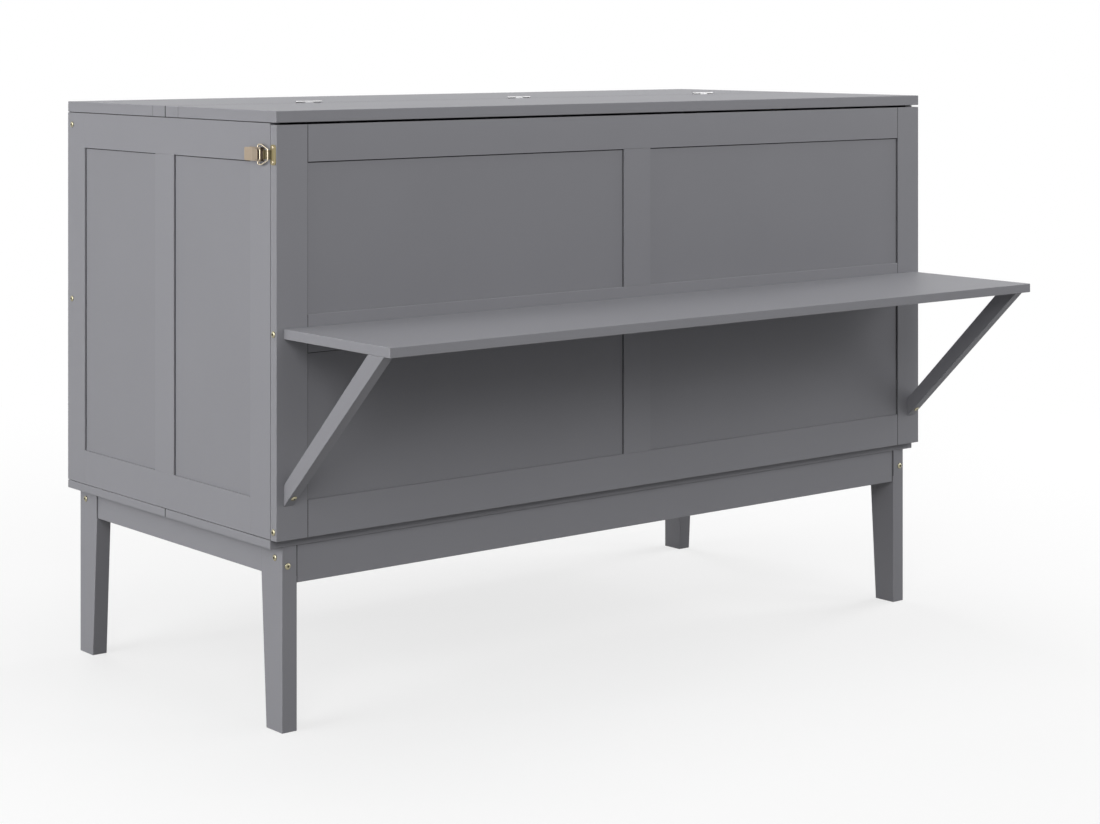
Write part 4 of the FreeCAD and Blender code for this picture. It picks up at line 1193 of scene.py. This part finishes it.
def latch_catch(plate):
    """A rounded plate on the front's edge, with a tongue that ends in a hook lip."""
    lo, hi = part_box("latch_catch_right")
    seat = lo.x
    root, end, lip = -0.202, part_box("front_stile_right")[1].y - 0.0015, hi.y
    over_wall = WALL + 0.0006
    rise = over_wall - seat
    bm = block((seat, lo.y, lo.z), (seat + plate, end, hi.z))
    rounded(bm, 0.005, 6, chosen=edges_at(bm, "x", y=lo.y) + edges_at(bm, "x", y=end))
    eased(bm, 0.0003)
    top = end - plate * (math.sqrt(2) - 1)
    outline = [(seat + 0.0003, root), (seat + 0.0003, end), (over_wall, end + rise),
               (over_wall, lip), (hi.x, lip), (hi.x, lip - plate),
               (over_wall + plate, lip - plate), (over_wall + plate, top + rise),
               (seat + plate + 0.0002, top), (seat + plate + 0.0002, root)]
    hook = slab(outline, "z", LATCH_Z - 0.008, LATCH_Z + 0.008)
    rounded(hook, 0.0003, 2, sharper=40.0)
    # painted shade: the tongue and hook sit inside the bail, where little light gets in
    mark(hook, hook.faces, -0.55)
    join(bm, hook)
    return bm


class CABINET_OT_latches(Piece, bpy.types.Operator):
    """Two draw latches: base, lever, wire bail, pin, catch and their screws"""

    bl_idname = "cabinet_bed.latches"
    bl_label = "Draw latches"

    def execute(self, context):
        plate = settings("hardware").latch_plate
        wire = settings("hardware").wire
        for side, turn in SIDES.items():
            for name, make, stock, kind in (("base", latch_base, plate, "latch"),
                                            ("lever", latch_lever, plate, "latch"),
                                            ("bail", latch_bail, wire, "bail"),
                                            ("catch", latch_catch, plate, "catch")):
                finish(turn(make(stock)), "latch_" + name + "_" + side, "plated",
                       metal(kind))
        reach, ease = 0.0126, 0.0003
        pin_line = [(0.0, -reach), (wire * 0.7, -reach), (wire, -reach + ease),
                    (wire, reach - ease), (wire * 0.7, reach), (0.0, reach)]
        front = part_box("front_stile_right")[1].x
        screws = {
            "latch_base_screws": [(WALL + plate, LEVER_PIN[1] + back, LATCH_Z)
                                  for back in (0.019, 0.034)],
            "latch_catch_screws": [(front + plate, -0.20475, LATCH_Z + offset)
                                   for offset in (-0.0125, 0.0125)],
        }
        pins = [turn(stood(turned(pin_line), (*LEVER_PIN, LATCH_Z), UP))
                for turn in SIDES.values()]
        finish(gathered(pins), "latch_pins", "turned", metal("bail"))
        for node, seats in screws.items():
            made = [turn(cross_screw(seat, RIGHT, 0.0026, 0.0016, 0.013))
                    for turn in SIDES.values() for seat in seats]
            finish(gathered(made), node, "turned", metal("bail"))
        return {"FINISHED"}


# ---- the stage ----
# Each lamp: its place, the height it points at over the origin, its size and its power.
LAMPS = {
    "lamp_over": ((0.0, 0.0, 4.6), 0.6, 3.2, 46.0),
    "lamp_over_right": ((3.2, 0.6, 3.9), 0.8, 2.6, 10.0),
    "lamp_left_low": ((-4.8, 0.3, 1.5), 0.5, 2.6, 122.0),
    "lamp_rear_left": ((-4.0, 2.8, 2.6), 0.6, 2.4, 26.0),
    "lamp_front_high": ((0.2, -4.2, 3.8), 0.6, 2.6, 38.0),
    "lamp_front_right": ((4.2, -3.6, 2.4), 0.6, 2.6, 74.0),
    "lamp_front_left": ((-3.6, -4.2, 3.2), 0.6, 2.4, 99.0),
    "lamp_right": ((5.0, 0.0, 2.2), 0.6, 2.4, 134.0),
    "lamp_rear": ((0.8, 5.0, 2.4), 0.6, 2.6, 100.0),
}
CAMERA_PLACE = (-3.005, -3.677, 1.194)
CAMERA_YAW = -39.0  # degrees
CAMERA_SHIFT = -0.3458


class CABINET_OT_stage(Piece, bpy.types.Operator):
    """Pale floor, soft studio light and the camera"""

    bl_idname = "cabinet_bed.stage"
    bl_label = "Stage"

    def execute(self, context):
        scene = context.scene
        chosen = settings("stage")
        bm = bmesh.new()
        bmesh.ops.create_grid(bm, x_segments=8, y_segments=8, size=20.0)
        mesh = bpy.data.meshes.new("floor")
        bm.to_mesh(mesh)
        bm.free()
        floor = bpy.data.objects.new("floor", mesh)
        scene.collection.objects.link(floor)
        mesh.materials.append(floor_finish(chosen.floor_colour, chosen.floor_glow))
        sky(chosen.daylight)
        for name, (place, aim, size, power) in LAMPS.items():
            lamp = bpy.data.lights.new(name, "AREA")
            lamp.shape = "SQUARE"
            lamp.size = size
            lamp.energy = power
            lit = bpy.data.objects.new(name, lamp)
            lit.location = place
            way = UP * aim - Vector(place)
            lit.rotation_euler = way.to_track_quat("-Z", "Y").to_euler()
            lit.visible_camera = False
            lit.visible_glossy = name != "lamp_rear"
            scene.collection.objects.link(lit)
        camera = bpy.data.cameras.new("camera")
        camera.lens = chosen.lens
        camera.sensor_width = 36.0
        camera.shift_y = CAMERA_SHIFT
        camera.clip_start = 0.05
        camera.clip_end = 200.0
        eye = bpy.data.objects.new("camera", camera)
        eye.location = CAMERA_PLACE
        eye.rotation_euler = (math.radians(90), 0.0, math.radians(CAMERA_YAW))
        scene.collection.objects.link(eye)
        scene.camera = eye
        scene.view_settings.view_transform = "Standard"
        return {"FINISHED"}


def seen_directly(tree):
    """One where a ray comes from the camera or from a mirror or glass, else zero."""
    camera, glossy, through = [tree.add("ShaderNodeLightPath", out=ray) for ray in
                               ("Is Camera Ray", "Is Glossy Ray", "Is Transmission Ray")]
    return camera.above(glossy).above(through)


def sky(strength):
    """Even daylight, with a white backdrop where it is seen directly."""
    world = bpy.data.worlds.new("daylight")
    bpy.context.scene.world = world
    tree = Tree(world)
    light, white = [tree.add("ShaderNodeBackground", {"Color": WHITE, "Strength": power})
                    for power in (strength, 1.0)]
    mixed = tree.add("ShaderNodeMixShader", {0: seen_directly(tree), 1: light, 2: white})
    tree.add("ShaderNodeOutputWorld", {"Surface": mixed})


def floor_finish(tone, glow):
    """A pale floor that keeps the shadow near the bed and fades to the backdrop's white."""
    material = bpy.data.materials.new("pale_floor")
    tree = Tree(material)
    seen = seen_directly(tree)
    place = tree.place()
    away = tree.add("ShaderNodeVectorMath", {0: place}, 1, operation="LENGTH")
    far = tree.ramp(away / 10.0, (0.10, glow), (0.34, 1.0))
    near = tree.mixed(tree.noise(place, 60.0, 2.0), scaled(tone, 0.985), tone)
    shade = tree.mixed(seen, (0.30, 0.30, 0.30), near)
    matt = tree.add("ShaderNodeBsdfDiffuse", {"Color": shade})
    white = tree.add("ShaderNodeEmission", {"Color": WHITE, "Strength": 1.0})
    mixed = tree.add("ShaderNodeMixShader", {0: far * seen, 1: matt, 2: white})
    tree.add("ShaderNodeOutputMaterial", {"Surface": mixed})
    return material


# ---- panel and register ----
OPERATORS = (CABINET_OT_stage, CABINET_OT_legs, CABINET_OT_base, CABINET_OT_walls,
             CABINET_OT_lid, CABINET_OT_front, CABINET_OT_shelf, CABINET_OT_leaf,
             CABINET_OT_bolts, CABINET_OT_hinges, CABINET_OT_latches)
SETTINGS = {"paint": PaintSettings, "timber": TimberSettings, "hardware": HardwareSettings,
            "stage": StageSettings}


class VIEW3D_PT_cabinet_bed(bpy.types.Panel):
    """Lists the bed's pieces and what may be changed"""

    bl_label = "Cabinet bed"
    bl_idname = "VIEW3D_PT_cabinet_bed"
    bl_space_type = "VIEW_3D"
    bl_region_type = "UI"
    bl_category = "Cabinet bed"

    def draw(self, context):
        for name, group in SETTINGS.items():
            column = self.layout.column(heading=name.capitalize())
            for prop in group.__annotations__:
                column.prop(settings(name), prop)
        for operator in OPERATORS:
            self.layout.operator(operator.bl_idname)


def register():
    for name, group in SETTINGS.items():
        bpy.utils.register_class(group)
        setattr(bpy.types.Scene, "cabinet_" + name, PointerProperty(type=group))
    for operator in OPERATORS:
        bpy.utils.register_class(operator)
    bpy.utils.register_class(VIEW3D_PT_cabinet_bed)


def unregister():
    bpy.utils.unregister_class(VIEW3D_PT_cabinet_bed)
    for operator in reversed(OPERATORS):
        bpy.utils.unregister_class(operator)
    for name, group in SETTINGS.items():
        delattr(bpy.types.Scene, "cabinet_" + name)
        bpy.utils.unregister_class(group)


def main():
    register()
    for operator in OPERATORS:
        getattr(bpy.ops.cabinet_bed, operator.bl_idname.split(".")[1])()


if __name__ == "__main__":
    main()
